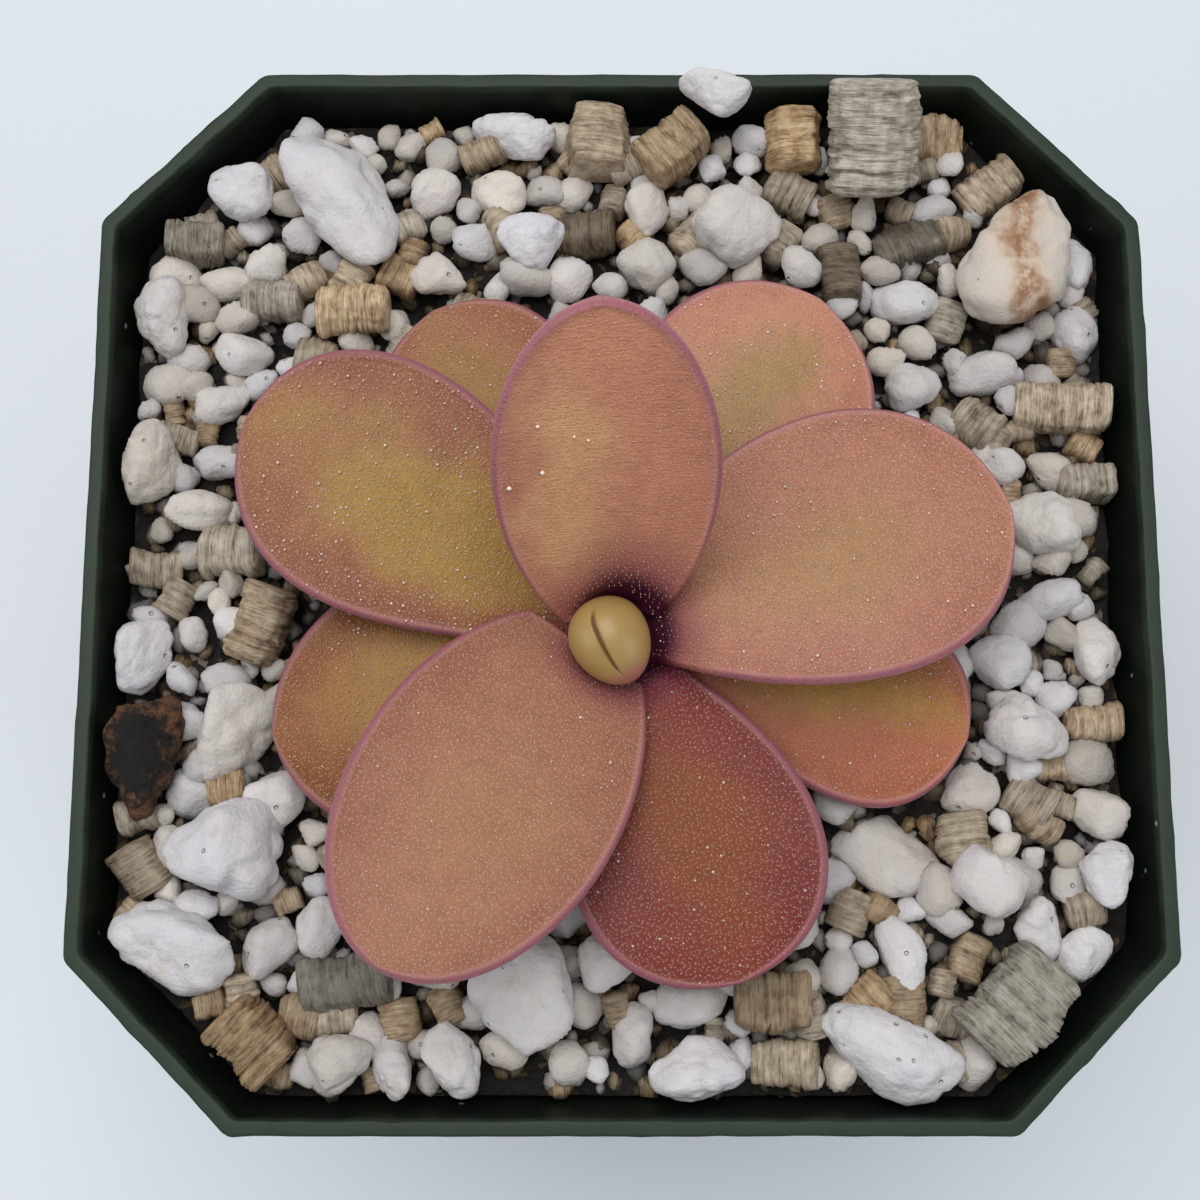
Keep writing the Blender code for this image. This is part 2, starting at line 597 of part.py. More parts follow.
def filling_grains(lumps, leaf_points):
    """Meshes of the filling grains, on a jittered grid of staggered rows."""
    random = np.random.default_rng(GRAIN_SEED)
    grains = []
    count = int(2 * GRAIN_WALL / GRAIN_PITCH) + 2
    for row in range(count):
        for column in range(count):
            x = -GRAIN_WALL + (column + 0.5 * (row % 2)) * GRAIN_PITCH
            y = -GRAIN_WALL + row * GRAIN_PITCH * GRAIN_ROW_SHARE
            dx, dy = random.uniform(-GRAIN_JITTER, GRAIN_JITTER, 2)
            radius = random.uniform(*GRAIN_RADII)
            squash, heading = random.uniform(*GRAIN_SQUASH), random.uniform(0.0, 360.0)
            rise = random.uniform(*GRAIN_RISE)
            x, y = x + dx, y + dy
            if not inside_pot(x, y, radius):
                continue
            from_crown = math.hypot(x - CROWN_X, y - CROWN_Y) - radius
            if from_crown < CROWN_HOLE_RADIUS + LUMP_CLEARANCE:
                continue
            if any(math.hypot(x - small_x, y - small_y) < SMALL_LUMP_SHARE * (length + width)
                   for small_x, small_y, length, width, _ in SMALL_LUMPS):
                continue
            roof = ceiling(x, y, radius, leaf_points)
            if roof < math.inf and (row + column) % 2:
                continue
            grains.append((x, y, roof, radius, squash, heading, rise))
    directions, faces = ball(1)
    made = []
    for number, (x, y, roof, radius, squash, heading, rise) in enumerate(grains):
        form = stone_form(directions, STONE_SEED + number) * radius * (1.0, squash, GRAIN_HEIGHT)
        for size in GRAIN_SHRINKS:
            points = turned(form * size, heading, 0.0, 0.0) + (x, y, 0.0)
            top = BED_TOP + radius * size * rise
            points[:, 2] += min(top, roof) - points[:, 2].max()
            if points[:, 2].mean() > BED_TOP - GRAIN_DEPTH and not touches(points, lumps):
                made.append((points, faces))
                break
    return made


def small_lumps(lumps, leaf_points):
    """Meshes of the smaller lumps, each shrunk until it is clear of the larger ones."""
    made = []
    for number, (x, y, length, width, heading) in enumerate(SMALL_LUMPS):
        directions, faces = ball(1)
        form = stone_form(directions, SMALL_SEED + number)
        for size in LUMP_SHRINKS:
            top = BED_TOP + SMALL_RISE[0] + SMALL_RISE[1] * width * size
            top = min(top, ceiling(x, y, length * size / 2.0, leaf_points))
            half = half_sizes(length * size, width * size)
            points = turned(form * half, heading, 0.0, 0.0) + (x, y, 0.0)
            points[:, 2] += top - points[:, 2].max()
            if not touches(points, lumps):
                made.append((points, faces))
                break
    return made


def build_mix(lumps, leaf_points):
    """The bed with the small lumps and grains fused to it, and a hole for the crown."""
    look = material("growing_mix", MIX_BROWN)
    sections = [pot_section(height, half, corner_inside(half, WALL + GAP))
                for height, half in BED_LEVELS]
    points = [point for section in sections for point in section]
    mix = solid("growing_mix", points, ring_faces(len(sections), 8), look)
    repeats = bpy.data.collections.new("grains")
    meshes = small_lumps(lumps, leaf_points) + filling_grains(lumps, leaf_points)
    for number, (grain, faces) in enumerate(meshes):
        made = solid(f"grain_{number}", grain, faces, look)
        bpy.context.scene.collection.objects.unlink(made)
        repeats.objects.link(made)
    union = mix.modifiers.new("grains", "BOOLEAN")
    union.operation = "UNION"
    union.operand_type = "COLLECTION"
    union.collection = repeats
    union.solver = "MANIFOLD"
    apply_modifiers(mix)
    for made in list(repeats.objects):
        bpy.data.objects.remove(made, do_unlink=True)
    bpy.data.collections.remove(repeats)
    hole = drill("crown_hole", CROWN_X, CROWN_Y, CROWN_HOLE_RADIUS, CROWN_HOLE_BOTTOM,
                 BED_TOP + HOLE_LIFT, CROWN_SIDES)
    cut(mix, hole, "MANIFOLD")
    apply_modifiers(mix)
    bpy.data.objects.remove(hole, do_unlink=True)


def main():
    clear_scene()
    build_pot()
    build_crown()
    build_leaves()
    build_heart_leaf()
    leaf_points = np.concatenate([clasp(leaf_surface(leaf, *ROOF_GRID)[0]).reshape(-1, 3)
                                  for leaf in named_leaves()])
    lumps = build_lumps(leaf_points)
    build_mix(lumps, leaf_points)


main()
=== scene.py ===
"""Looks of a butterwort in its square nursery pot, laid out as a Blender add-on.

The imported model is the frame. Each operator makes one piece or one group of like pieces round
it: the pot, the bed, the lumps and grains of the mix, the leaves, their sticky glands, the
furled leaf and the stage. Shapes are worked out in millimetres and turned into metres as they
become meshes. Lengths among the settings are in metres, as the panel shows them.
"""

import itertools
import math

import bmesh
import bpy
import numpy as np
from bpy.props import FloatProperty, FloatVectorProperty, PointerProperty
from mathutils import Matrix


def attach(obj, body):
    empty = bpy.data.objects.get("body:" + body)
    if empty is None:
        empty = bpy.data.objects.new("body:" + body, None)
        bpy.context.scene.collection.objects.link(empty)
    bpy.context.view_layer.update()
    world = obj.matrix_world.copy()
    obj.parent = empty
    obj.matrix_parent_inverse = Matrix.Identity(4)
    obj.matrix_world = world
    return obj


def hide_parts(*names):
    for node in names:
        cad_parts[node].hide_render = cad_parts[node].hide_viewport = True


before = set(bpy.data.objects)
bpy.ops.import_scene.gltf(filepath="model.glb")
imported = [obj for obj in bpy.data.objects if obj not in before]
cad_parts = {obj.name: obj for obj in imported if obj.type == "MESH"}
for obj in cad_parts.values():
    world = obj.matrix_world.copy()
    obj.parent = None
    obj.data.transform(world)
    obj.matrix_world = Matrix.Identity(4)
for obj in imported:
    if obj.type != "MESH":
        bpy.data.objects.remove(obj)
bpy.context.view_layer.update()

bl_info = {
    "name": "Butterwort",
    "version": (1, 0, 0),
    "blender": (4, 5, 0),
    "location": "3D View > Sidebar > Butterwort",
    "description": "Dresses the packed butterwort and its pot with their looks",
    "category": "Object",
}

# Linear colours that the panel does not offer
# Darker plastic of the pot's inside: painted shade
SHADED_INSIDE_PLASTIC = (0.0034, 0.0062, 0.0038)
DUST = (0.55, 0.58, 0.52)
# Near black fines: their own colour darkened with painted shade of the gaps
DARKEST_FINES_AND_SHADE = (0.004, 0.003, 0.003)
GOLDEN_CRUMB = (0.20, 0.13, 0.06)
PALE_CRUMB = (0.45, 0.40, 0.34)
LILAC_PERLITE = (0.61, 0.595, 0.635)
TAN_PERLITE = (0.50, 0.36, 0.22)
PALE_STAIN = (0.60, 0.40, 0.24)
RUST_STAIN = (0.27, 0.125, 0.055)
SOOT = (0.006, 0.004, 0.004)
DARK_RUST = (0.030, 0.014, 0.008)
RUST = (0.17, 0.072, 0.030)
# Mica: places along its pattern, from cracks to flat sheets, and its colours there. The darkest
# colours, in the cracks, are painted shade
MICA_STOPS = (0.34, 0.44, 0.54, 0.68)
GREY_MICA = ((0.045, 0.040, 0.028), (0.25, 0.225, 0.180), (0.42, 0.39, 0.335), (0.62, 0.59, 0.53))
GOLD_MICA = ((0.060, 0.028, 0.012), (0.27, 0.155, 0.070), (0.46, 0.31, 0.155), (0.64, 0.50, 0.31))
# Leaves, their glands, the furled leaf and the stem
PALE_DOT_GLINT = (0.82, 0.56, 0.48)
PALE_MARGIN = (0.72, 0.42, 0.40)
PURPLE_BLUSH = (0.21, 0.030, 0.075)
DRY_GLAND = (0.42, 0.20, 0.15)
# Near white drops: slime with a painted glint
WET_GLAND_GLINT = (0.95, 0.86, 0.78)
OLIVE = (0.34, 0.235, 0.075)
# Brown of the slit in the furled leaf, partly painted shade
SLIT_SHADE_BROWN = (0.17, 0.075, 0.028)
DARK_STEM = (0.03, 0.006, 0.010)
PURPLE_STEM = (0.13, 0.035, 0.04)
# Stage
FLOOR_CLOUDS = (0.80, 0.82, 0.85)
SKY_COLOUR = (0.90, 0.95, 1.0)
WARM_LIGHT = (1.0, 0.985, 0.96)
COOL_LIGHT = (0.96, 0.98, 1.0)

# Share of pitted cells in a stone, dots per millimetre on a leaf, what is added to places
# about the crown so that the purple of the leaves' feet, partly painted shade, has its middle a
# little to the right of it, in millimetres, and the way that the stain runs
PITTED_SHARE = 0.06
DOTS_PER_MM = 3.5
FOOT_SHIFT = (-0.9, -0.2, 0.0)
STAIN_HEADING = math.radians(-4.0)

# Lamps: name, place and size in metres, setting with their power, and tint
LAMP_AIM = (0.0, 0.0, 0.05)
LAMPS = (("key", (-0.06, 0.14, 0.60), 0.5, "key_power", WARM_LIGHT),
         ("left_fill", (-0.55, -0.1, 0.35), 0.4, "fill_power", COOL_LIGHT),
         ("right_fill", (0.55, -0.2, 0.35), 0.4, "fill_power", COOL_LIGHT))

MM = 0.001
PER_MM = 1000.0

# Pot: height, half width and distance in from the outside along the wall's profile
WALL = 1.05
POT_PROFILE = (
    (1.4, 0.0, 0.0), (1.4, 24.6, WALL), (0.0, 24.6, WALL), (0.0, 26.0, 0.0), (54.0, 34.8, 0.0),
    (54.8, 36.6, 0.0), (65.0, 37.7, 0.0), (65.3, 38.0, 0.0), (66.0, 38.0, 0.0),
    (66.0, 36.95, WALL), (56.0, 35.7, WALL), (55.0, 33.95, WALL), (2.6, 25.35, WALL),
    (2.6, 0.0, 0.0),
)
LIP_BOTTOM = 65.2
CORNER_SHARE = 11.5 / 38.0
CORNER_INSET = 2.0 - math.sqrt(2.0)
DRAIN_HOLES = ((0.0, 0.0, 4.0), (15.0, 15.0, 3.0), (-15.0, 15.0, 3.0),
               (-15.0, -15.0, 3.0), (15.0, -15.0, 3.0))

# Bed: its dark fines lie lower than the top of the model's bed, which also takes in the grains
FINES_RINGS = 84
BED_TOP = 62.0
BED_GAP = 0.3
FINES_TOP = 61.2
BED_PROFILE = ((2.9, 0.0, 0.0), (2.9, 25.1, WALL + BED_GAP), (55.3, 33.65, WALL + BED_GAP),
               (56.3, 35.35, WALL + BED_GAP), (FINES_TOP, 36.0, WALL + BED_GAP))

# Crown axis and leaves, youngest first. Azimuth is the way a leaf points, sweep turns it along
# its length, rise is its climb at foot and tip, and roll tips it sideways, in degrees. Fullness
# puts the widest place nearer the tip, cup lifts the margins, base is the height of the foot,
# neck the share of the width left there, and shift moves the foot round the crown.
CROWN_X = -0.62
CROWN_Y = -4.85
LEAF_FIELDS = ("azimuth", "length", "width", "fullness", "sweep", "rise_foot", "rise_tip",
               "roll", "cup", "base", "neck", "shift")
LEAVES = (
    (93, 25.27, 14.29, 1.10, -1, 58, 47, 2, 0.10, 69.73, 0.42, 0.0),
    (239, 26.24, 17.59, 1.00, 0, 30, 10, -4, 0.00, 68.76, 0.52, -1.36),
    (20, 27.70, 19.54, 1.35, -20, 28, -16, -12, -0.03, 68.18, 0.26, 0.39),
    (147, 28.19, 17.59, 1.60, 15, 21, -2, -5, 0.00, 66.81, 0.33, 0.0),
    (291, 23.33, 17.11, 1.50, -6, 20, -5, 0, 0.00, 66.52, 0.40, 0.0),
    (60, 27.70, 17.59, 1.60, -5, 12, -8, 4, -0.05, 65.84, 0.34, 0.0),
    (197, 23.04, 19.25, 0.90, -8, 12, -6, 0, -0.05, 65.16, 0.38, 0.0),
    (347, 24.30, 13.90, 2.00, -10, 9, -6, 0, -0.05, 64.36, 0.38, 0.0),
    (117, 26.73, 14.97, 2.00, 4, 7, -4, 0, -0.05, 63.70, 0.36, 0.0),
)
LEAF_ROWS = 96
LEAF_COLUMNS = 56
LEAF_START = 1.46
LEAF_CLASP = 2.43
MARGIN_THICKNESS = 0.6
MIDRIB_THICKNESS = 1.1
MARGIN_ROUNDING = 0.3
MIDRIB_STEPS = 241
ROLL_HEIGHT = 0.16
ROLL_PLACE = 0.30
ROLL_WIDTH = 0.28
WAVE_SIZE = 6.0
WAVE_HEIGHT = 0.10
WAVE_SEED = 40
SWEEP_START = 0.3
NECK_POWER = 2.5

# Looks of each leaf, in the same order. Rose, heart and shade are linear colours,
# patch is the place of the yellow heart along and across the leaf with its size, ripple is how
# deep the fine crosswise lines are, sparkle the share of glands that hold a larger drop, and
# dew how pale the other glands are, and the dots that are drawn for the shortest ones, whose
# paleness is partly a painted glint on their drops.
LEAF_LOOK_FIELDS = ("slot", "rose", "heart", "shade", "patch", "ripple", "sparkle", "dew")
LEAF_LOOKS = (
    # The first leaf's colours are lighter, as painted light: it faces away from the key lamp
    ("leaf_rose", (0.575, 0.245, 0.148), (0.665, 0.365, 0.178), (0.473, 0.185, 0.122),
     (0.45, 0.4, 0.34), 0.8, 0.0, 0.26),
    ("leaf_rose", (0.347, 0.149, 0.086), (0.364, 0.174, 0.087), (0.28, 0.101, 0.059),
     (0.58, 0.05, 0.34), 0.7, 0.015, 0.42),
    ("leaf_rose", (0.411, 0.179, 0.112), (0.365, 0.187, 0.081), (0.353, 0.133, 0.087),
     (0.55, -0.15, 0.36), 0.5, 0.06, 0.48),
    ("leaf_rose", (0.306, 0.127, 0.052), (0.344, 0.196, 0.041), (0.214, 0.062, 0.038),
     (0.5, -0.02, 0.52), 0.4, 0.16, 0.42),
    ("leaf_wine", (0.185, 0.027, 0.016), (0.205, 0.045, 0.006), (0.145, 0.017, 0.019),
     (0.55, 0.1, 0.4), 0.5, 0.05, 0.34),
    ("leaf_ochre", (0.479, 0.209, 0.127), (0.324, 0.196, 0.073), (0.391, 0.15, 0.096),
     (0.45, 0.1, 0.5), 0.3, 0.16, 0.42),
    ("leaf_ochre", (0.249, 0.088, 0.022), (0.316, 0.155, 0.03), (0.175, 0.05, 0.011),
     (0.5, -0.2, 0.5), 0.3, 0.08, 0.38),
    ("leaf_ochre", (0.399, 0.123, 0.054), (0.421, 0.224, 0.045), (0.303, 0.088, 0.046),
     (0.55, 0.3, 0.5), 0.3, 0.08, 0.38),
    ("leaf_ochre", (0.297, 0.114, 0.047), (0.298, 0.151, 0.04), (0.258, 0.084, 0.037),
     (0.6, 0.2, 0.5), 0.3, 0.16, 0.4),
)
# Single large drops on the youngest leaf: across and along it, and their radius
LARGE_DROPS = ((6.1, 13.0, 0.20), (4.0, 13.9, 0.19), (4.1, 17.3, 0.16), (1.9, 16.3, 0.12),
               (1.1, 16.0, 0.12))

# Glands: how they are spread over a leaf, and their stalks, in millimetres
GLAND_SEED = 700
GLAND_ROW_SHARE = 0.87
GLAND_JITTER = 0.3
GLAND_MARGIN = 0.45
GLAND_CROWN_GAP = 0.6
STALK_RADIUS = 0.022
STALK_ROOT = 0.03
DROP_HEIGHT = 0.85

# Furled leaf
HEART_CENTRE = (-0.77, -5.43, 71.77)
HEART_HALF_LENGTH = 3.06
HEART_HALF_WIDTH = 2.67
HEART_HALF_HEIGHT = 2.77
HEART_HEADING = math.radians(-62.0)
HEART_EGG = 0.12
SLIT_ANGLE = math.radians(108.0)
HEART_STATIONS = 110
HEART_SIDES = 160

# Larger lumps: kind, place, length, width and heading as in the model, then a tone from cool
# or grey at 0 to warm or golden at 1, and a shade that darkens it
LUMPS = (
    ("stained_perlite", 29.2, 24.0, 10.7, 8.2, 75, 0.8, 1.0),
    ("perlite", -20.5, 29.0, 11.7, 6.8, -54, 0.2, 1.0),
    ("perlite", -27.8, -18.9, 8.4, 7.0, 0, 0.1, 1.0),
    ("vermiculite", 18.6, 32.5, 8.3, 6.8, 90, 0.1, 1.1),
    ("perlite", -6.7, -28.3, 8.9, 7.0, 90, 0.35, 1.0),
    ("perlite", -31.0, -25.9, 9.2, 6.0, -15, 0.15, 1.0),
    ("perlite", 18.2, -32.9, 10.3, 5.2, -25, 0.1, 1.0),
    ("vermiculite", 27.2, -29.6, 7.6, 5.6, 45, 0.0, 0.8),
    ("charcoal", -33.6, -12.5, 8.3, 5.2, 90, 0.5, 1.0),
    ("perlite", -27.4, -11.0, 7.4, 5.8, 80, 0.6, 1.0),
    ("perlite", 18.9, -19.5, 8.3, 5.8, -5, 0.6, 0.95),
    ("perlite", 8.7, 27.0, 6.8, 5.8, 0, 0.5, 0.95),
    ("vermiculite", -25.4, -31.9, 5.5, 4.7, -45, 0.9, 0.7),
    ("perlite", -11.7, -33.3, 5.6, 3.9, -75, 0.35, 1.0),
    ("perlite", -19.4, -33.7, 4.7, 4.3, 0, 0.7, 0.85),
    ("perlite", 5.1, -33.9, 6.8, 4.3, 0, 0.2, 1.0),
    ("perlite", 25.6, -21.4, 5.4, 5.1, 90, 0.4, 1.0),
    ("vermiculite", -19.1, -28.2, 6.4, 3.9, 10, 0.1, 0.45),
    ("perlite", -28.2, 29.6, 4.7, 4.3, 0, 0.1, 1.0),
    ("vermiculite", 32.4, 12.9, 7.0, 3.9, -5, 0.4, 1.2),
    ("perlite", -34.0, 20.0, 6.6, 4.3, 90, 0.4, 0.95),
    ("perlite", 30.6, 4.4, 5.8, 4.7, -20, 0.5, 1.0),
    ("perlite", 28.8, -10.6, 5.8, 4.9, 0, 0.4, 1.0),
    ("vermiculite", 10.4, -29.6, 5.4, 4.1, 0, 0.8, 0.6),
    ("perlite", -34.1, 8.9, 6.3, 4.1, 90, 0.8, 0.95),
    ("perlite", -8.1, 34.2, 6.4, 3.6, -10, 0.1, 1.0),
    ("vermiculite", -1.6, 33.7, 5.1, 4.7, 90, 0.5, 1.0),
    ("vermiculite", -31.8, 25.8, 4.3, 3.1, 0, 0.2, 0.6),
    ("vermiculite", -19.8, 20.8, 5.4, 4.1, 0, 0.7, 1.3),
    ("vermiculite", 4.0, 32.9, 5.4, 4.1, 40, 0.8, 0.8),
    ("perlite", 33.9, -20.9, 4.6, 3.8, 90, 0.1, 1.0),
    ("perlite", -15.8, -33.8, 4.7, 2.7, 90, 0.4, 0.95),
    ("perlite", -34.2, -5.3, 5.6, 3.9, 90, 0.1, 1.0),
    ("vermiculite", -25.9, -3.0, 5.8, 4.1, 70, 0.6, 0.9),
    ("perlite", -0.7, -26.8, 4.7, 4.3, 0, 0.4, 1.0),
    ("vermiculite", 13.2, 33.7, 4.7, 4.1, 90, 0.9, 1.1),
    ("perlite", -6.7, 25.7, 5.1, 4.3, 0, 0.0, 1.05),
    ("perlite", 7.0, 35.9, 5.4, 3.8, 0, 0.1, 1.0),
)
# The stained and the burnt lump, then slope and top of those that lean on others, by their
# places among the LUMPS
STAINED = 0
BURNT = 8
LEANING = {3: (30.0, 71.2), 8: (0.0, 66.7), 37: (0.0, 69.2)}

# Smaller lumps of the bed: place, length, width and heading, and which of them are flaky or dark
SMALL_LUMPS = (
    (34.3, -4.8, 5.4, 3.3, 90), (4.8, -29.4, 5.4, 3.6, 0), (33.6, -16.6, 4.3, 3.7, 0),
    (27.2, 15.9, 5.6, 3.3, 0), (19.6, -26.2, 6.4, 3.1, -70), (21.8, 14.8, 4.3, 4.1, 0),
    (1.9, 24.2, 4.5, 4.3, 90), (-24.6, -25.9, 4.5, 4.1, 90), (-28.2, 2.5, 4.5, 4.1, 0),
    (-24.6, -15.4, 4.3, 4.1, 0), (21.6, 26.0, 5.2, 3.5, 20), (21.3, 21.4, 5.2, 3.5, 0),
    (27.2, -5.6, 4.5, 3.9, 0), (28.0, 30.4, 4.9, 3.5, 35), (33.8, 18.9, 4.3, 3.5, 90),
    (-30.8, 5.4, 5.1, 3.1, 0), (-25.9, 21.5, 4.5, 3.5, 0), (-9.2, 29.8, 4.4, 3.5, 0),
    (2.0, 28.6, 4.3, 3.4, 90), (-2.6, 26.8, 4.5, 3.5, 0), (-21.0, -24.4, 4.3, 3.5, 90),
    (-28.0, 17.3, 4.3, 3.5, 0), (-13.7, 23.6, 4.5, 3.3, 0), (16.6, 23.6, 4.3, 3.3, 90),
    (31.1, -1.1, 4.7, 3.1, 0), (34.1, 7.4, 4.3, 2.9, 0), (11.4, -33.6, 4.7, 3.1, 0),
    (0.8, -31.9, 4.4, 2.9, 90), (23.9, 34.3, 3.9, 3.5, 0), (-29.3, 22.8, 4.3, 2.8, 0),
    (-29.6, 9.2, 4.4, 2.6, 0), (-33.9, 1.2, 3.9, 2.9, 0), (-14.2, 29.8, 4.5, 3.5, 60),
    (24.8, -14.8, 4.3, 3.7, 30), (11.6, -24.3, 4.5, 3.5, 20), (-13.1, -27.2, 4.5, 3.3, 0),
    (34.1, 24.3, 4.6, 2.6, 90), (29.2, -24.6, 4.8, 3.4, 90), (32.4, -26.0, 4.2, 3.2, 45),
    (33.8, -10.2, 4.2, 2.7, 0), (-29.4, 13.4, 4.4, 3.0, 0),
)
FLAKY_SMALL = (8, 13, 16, 19, 25, 26, 28, 31, 39)
DARK_SMALL = (10, 19, 23)

# Grains that fill the bed, in staggered rows
GRAIN_PITCH = 3.3
GRAIN_ROW_SHARE = 0.9
GRAIN_JITTER = 0.9
GRAIN_RADII = (1.35, 2.0)
GRAIN_SQUASH = (0.7, 1.0)
GRAIN_HEIGHT = 0.8
GRAIN_RISE = (0.95, 1.35)
GRAIN_SEED = 20
PERLITE_SHARE = 0.66
SMALL_RANDOM_SEED = 77
SMALL_LEAN = 15.0

# More grains in the gaps that are left, and grit between all of them
GAP_SEED = 21
GAP_TRIES = 9000
GAP_RADIUS = 1.35
GAP_RADIUS_SPREAD = 0.45
GAP_SPACING = 0.72
GAP_RISE = (1.0, 1.7)
GRIT_SEED = 88
GRIT_RADII = (0.45, 1.15)
GRIT_FOLDS = 4
GRIT_SINK = 0.35
GOLDEN_GRIT_SHARE = 0.68

# How far grains may reach: to the wall, its cut corners, the crown and the leaves
GRAIN_WALL = 35.9
GRAIN_CORNER = 60.6
CORNER_REACH = 1.2
SMALL_LUMP_SHARE = 0.35
CROWN_HOLE_RADIUS = 2.5
LEAF_CLEARANCE = 1.0

# Shapes of the lumps, and how finely they are divided
LUMP_STEPS = 48
SMALL_STEPS = 26
GRAIN_STEPS = 14
SHEET_THICKNESS = 0.42
LUMP_LEAN = 8.0
LUMP_RISE = (1.2, 0.62)
SMALL_RISE = (0.9, 0.45)
LUMP_FLATNESS = 0.85
LUMP_HEIGHT = 3.0
STONE_PLANES = 22
STONE_DEPTHS = (0.84, 1.1)
STONE_SHARPNESS = 6.0
LEAST_FACING = 0.2
LUMP_SEED = 100
SMALL_SEED = 500
STONE_SEED = 1000


class PotSettings(bpy.types.PropertyGroup):
    plastic: FloatVectorProperty(
        name="Plastic", description="Colour of the moulded plastic", subtype="COLOR",
        size=3, min=0.0, max=1.0, default=(0.009, 0.018, 0.0105))
    scuffed: FloatVectorProperty(
        name="Scuffed edges", description="Colour of the worn lip and edges", subtype="COLOR",
        size=3, min=0.0, max=1.0, default=(0.020, 0.037, 0.021))
    corner_radius: FloatProperty(
        name="Corner radius", description="Rounding of the eight upright edges",
        unit="LENGTH", min=0.0002, default=0.0012)
    edge_radius: FloatProperty(
        name="Edge radius", description="Rounding of the lip, step and foot",
        unit="LENGTH", min=0.00005, default=0.0002)


class MixSettings(bpy.types.PropertyGroup):
    # The fines are painted near black: their own dark colour and painted shade of the gaps
    fines: FloatVectorProperty(
        name="Fines", description="Colour of the dark fines under the lumps", subtype="COLOR",
        size=3, min=0.0, max=1.0, default=(0.012, 0.009, 0.007))
    cool_perlite: FloatVectorProperty(
        name="Cool perlite", description="Colour of the whitest lumps", subtype="COLOR",
        size=3, min=0.0, max=1.0, default=(0.64, 0.63, 0.655))
    warm_perlite: FloatVectorProperty(
        name="Warm perlite", description="Colour of the beige lumps", subtype="COLOR",
        size=3, min=0.0, max=1.0, default=(0.60, 0.535, 0.46))
    grit_pitch: FloatProperty(
        name="Grit pitch", description="Distance between the fine grains", unit="LENGTH",
        min=0.0008, default=0.0016)


class LeafSettings(bpy.types.PropertyGroup):
    margin: FloatVectorProperty(
        name="Margin", description="Colour of the rolled margins", subtype="COLOR",
        size=3, min=0.0, max=1.0, default=(0.32, 0.110, 0.150))
    # The leaves' feet are dark purple, partly painted shade in the crown's hollow
    foot: FloatVectorProperty(
        name="Foot", description="Colour of the leaves next to the crown", subtype="COLOR",
        size=3, min=0.0, max=1.0, default=(0.050, 0.004, 0.018))
    gland_pitch: FloatProperty(
        name="Gland pitch", description="Distance between the sticky glands", unit="LENGTH",
        min=0.0002, default=0.00046)
    gland_height: FloatProperty(
        name="Gland height", description="Length of a gland's stalk", unit="LENGTH",
        min=0.00005, default=0.00012)
    drop_radius: FloatProperty(
        name="Drop radius", description="Radius of the drop on a gland", unit="LENGTH",
        min=0.00002, default=0.00005)


class HeartSettings(bpy.types.PropertyGroup):
    yellow: FloatVectorProperty(
        name="Yellow", description="Colour of the furled leaf", subtype="COLOR",
        size=3, min=0.0, max=1.0, default=(0.39, 0.245, 0.085))
    blush: FloatVectorProperty(
        name="Blush", description="Colour of its tip", subtype="COLOR",
        size=3, min=0.0, max=1.0, default=(0.42, 0.17, 0.13))
    slit_width: FloatProperty(
        name="Slit width", description="Half width of the slit along its top, as an angle",
        subtype="ANGLE", min=0.02, default=0.055)
    slit_depth: FloatProperty(
        name="Slit depth", description="Depth of the slit as a share of the girth",
        min=0.0, max=0.6, default=0.12)


class StageSettings(bpy.types.PropertyGroup):
    floor: FloatVectorProperty(
        name="Floor", description="Colour of the floor", subtype="COLOR",
        size=3, min=0.0, max=1.0, default=(0.74, 0.78, 0.84))
    camera_place: FloatVectorProperty(
        name="Camera", description="Where the camera stands", subtype="TRANSLATION", size=3,
        default=(-0.0015, -0.0204, 0.1784))
    camera_tilt: FloatProperty(
        name="Tilt", description="How far the camera is tipped up from straight down",
        subtype="ANGLE", default=math.radians(9.45))
    lens: FloatProperty(
        name="Lens", description="Focal length on a 36 mm wide frame", subtype="DISTANCE_CAMERA",
        default=48.51)
    key_power: FloatProperty(
        name="Key power", description="Power of the large lamp overhead", subtype="POWER",
        min=0.0, default=2.7)
    fill_power: FloatProperty(
        name="Fill power", description="Power of the two side lamps", subtype="POWER",
        min=0.0, default=0.85)
    sky: FloatProperty(
        name="Sky", description="Strength of the light from all round", min=0.0, default=0.30)


# Noise

def cell_number(cells, seed):
    """A number from 0 to 1 for each cell of a grid: its whole numbers are mixed by products
    and shifts, and the remainder is kept."""
    part = cells.astype(np.uint32)
    mixed = part[..., 0] * np.uint32(374761393) + part[..., 1] * np.uint32(668265263)
    mixed = mixed + part[..., 2] * np.uint32(2246822519) + np.uint32(seed * 3266489917 % 2**32)
    mixed = (mixed ^ (mixed >> np.uint32(13))) * np.uint32(1274126177)
    mixed = (mixed ^ (mixed >> np.uint32(16))) * np.uint32(2654435761)
    return (mixed ^ (mixed >> np.uint32(15))) / 2.0 ** 32


def noise(points, size, seed):
    """Smooth noise from -1 to 1: the numbers at the eight corners of a cube of that size are
    blended along each axis by 6s^5 - 15s^4 + 10s^3."""
    place = points / size
    base = np.floor(place).astype(np.int64)
    share = place - base
    share = share ** 3 * (share * (share * 6.0 - 15.0) + 10.0)
    total = np.zeros(points.shape[:-1])
    for corner in itertools.product((0, 1), repeat=3):
        weight = np.where(np.array(corner), share, 1.0 - share).prod(-1)
        total += weight * cell_number(base + corner, seed)
    return total * 2.0 - 1.0


def layered_noise(points, size, seed, layers=3):
    """Noise of one size plus finer ones, each half as large and half as strong."""
    return sum(noise(points, size / 2.0 ** i, seed + i) / 2.0 ** i for i in range(layers))


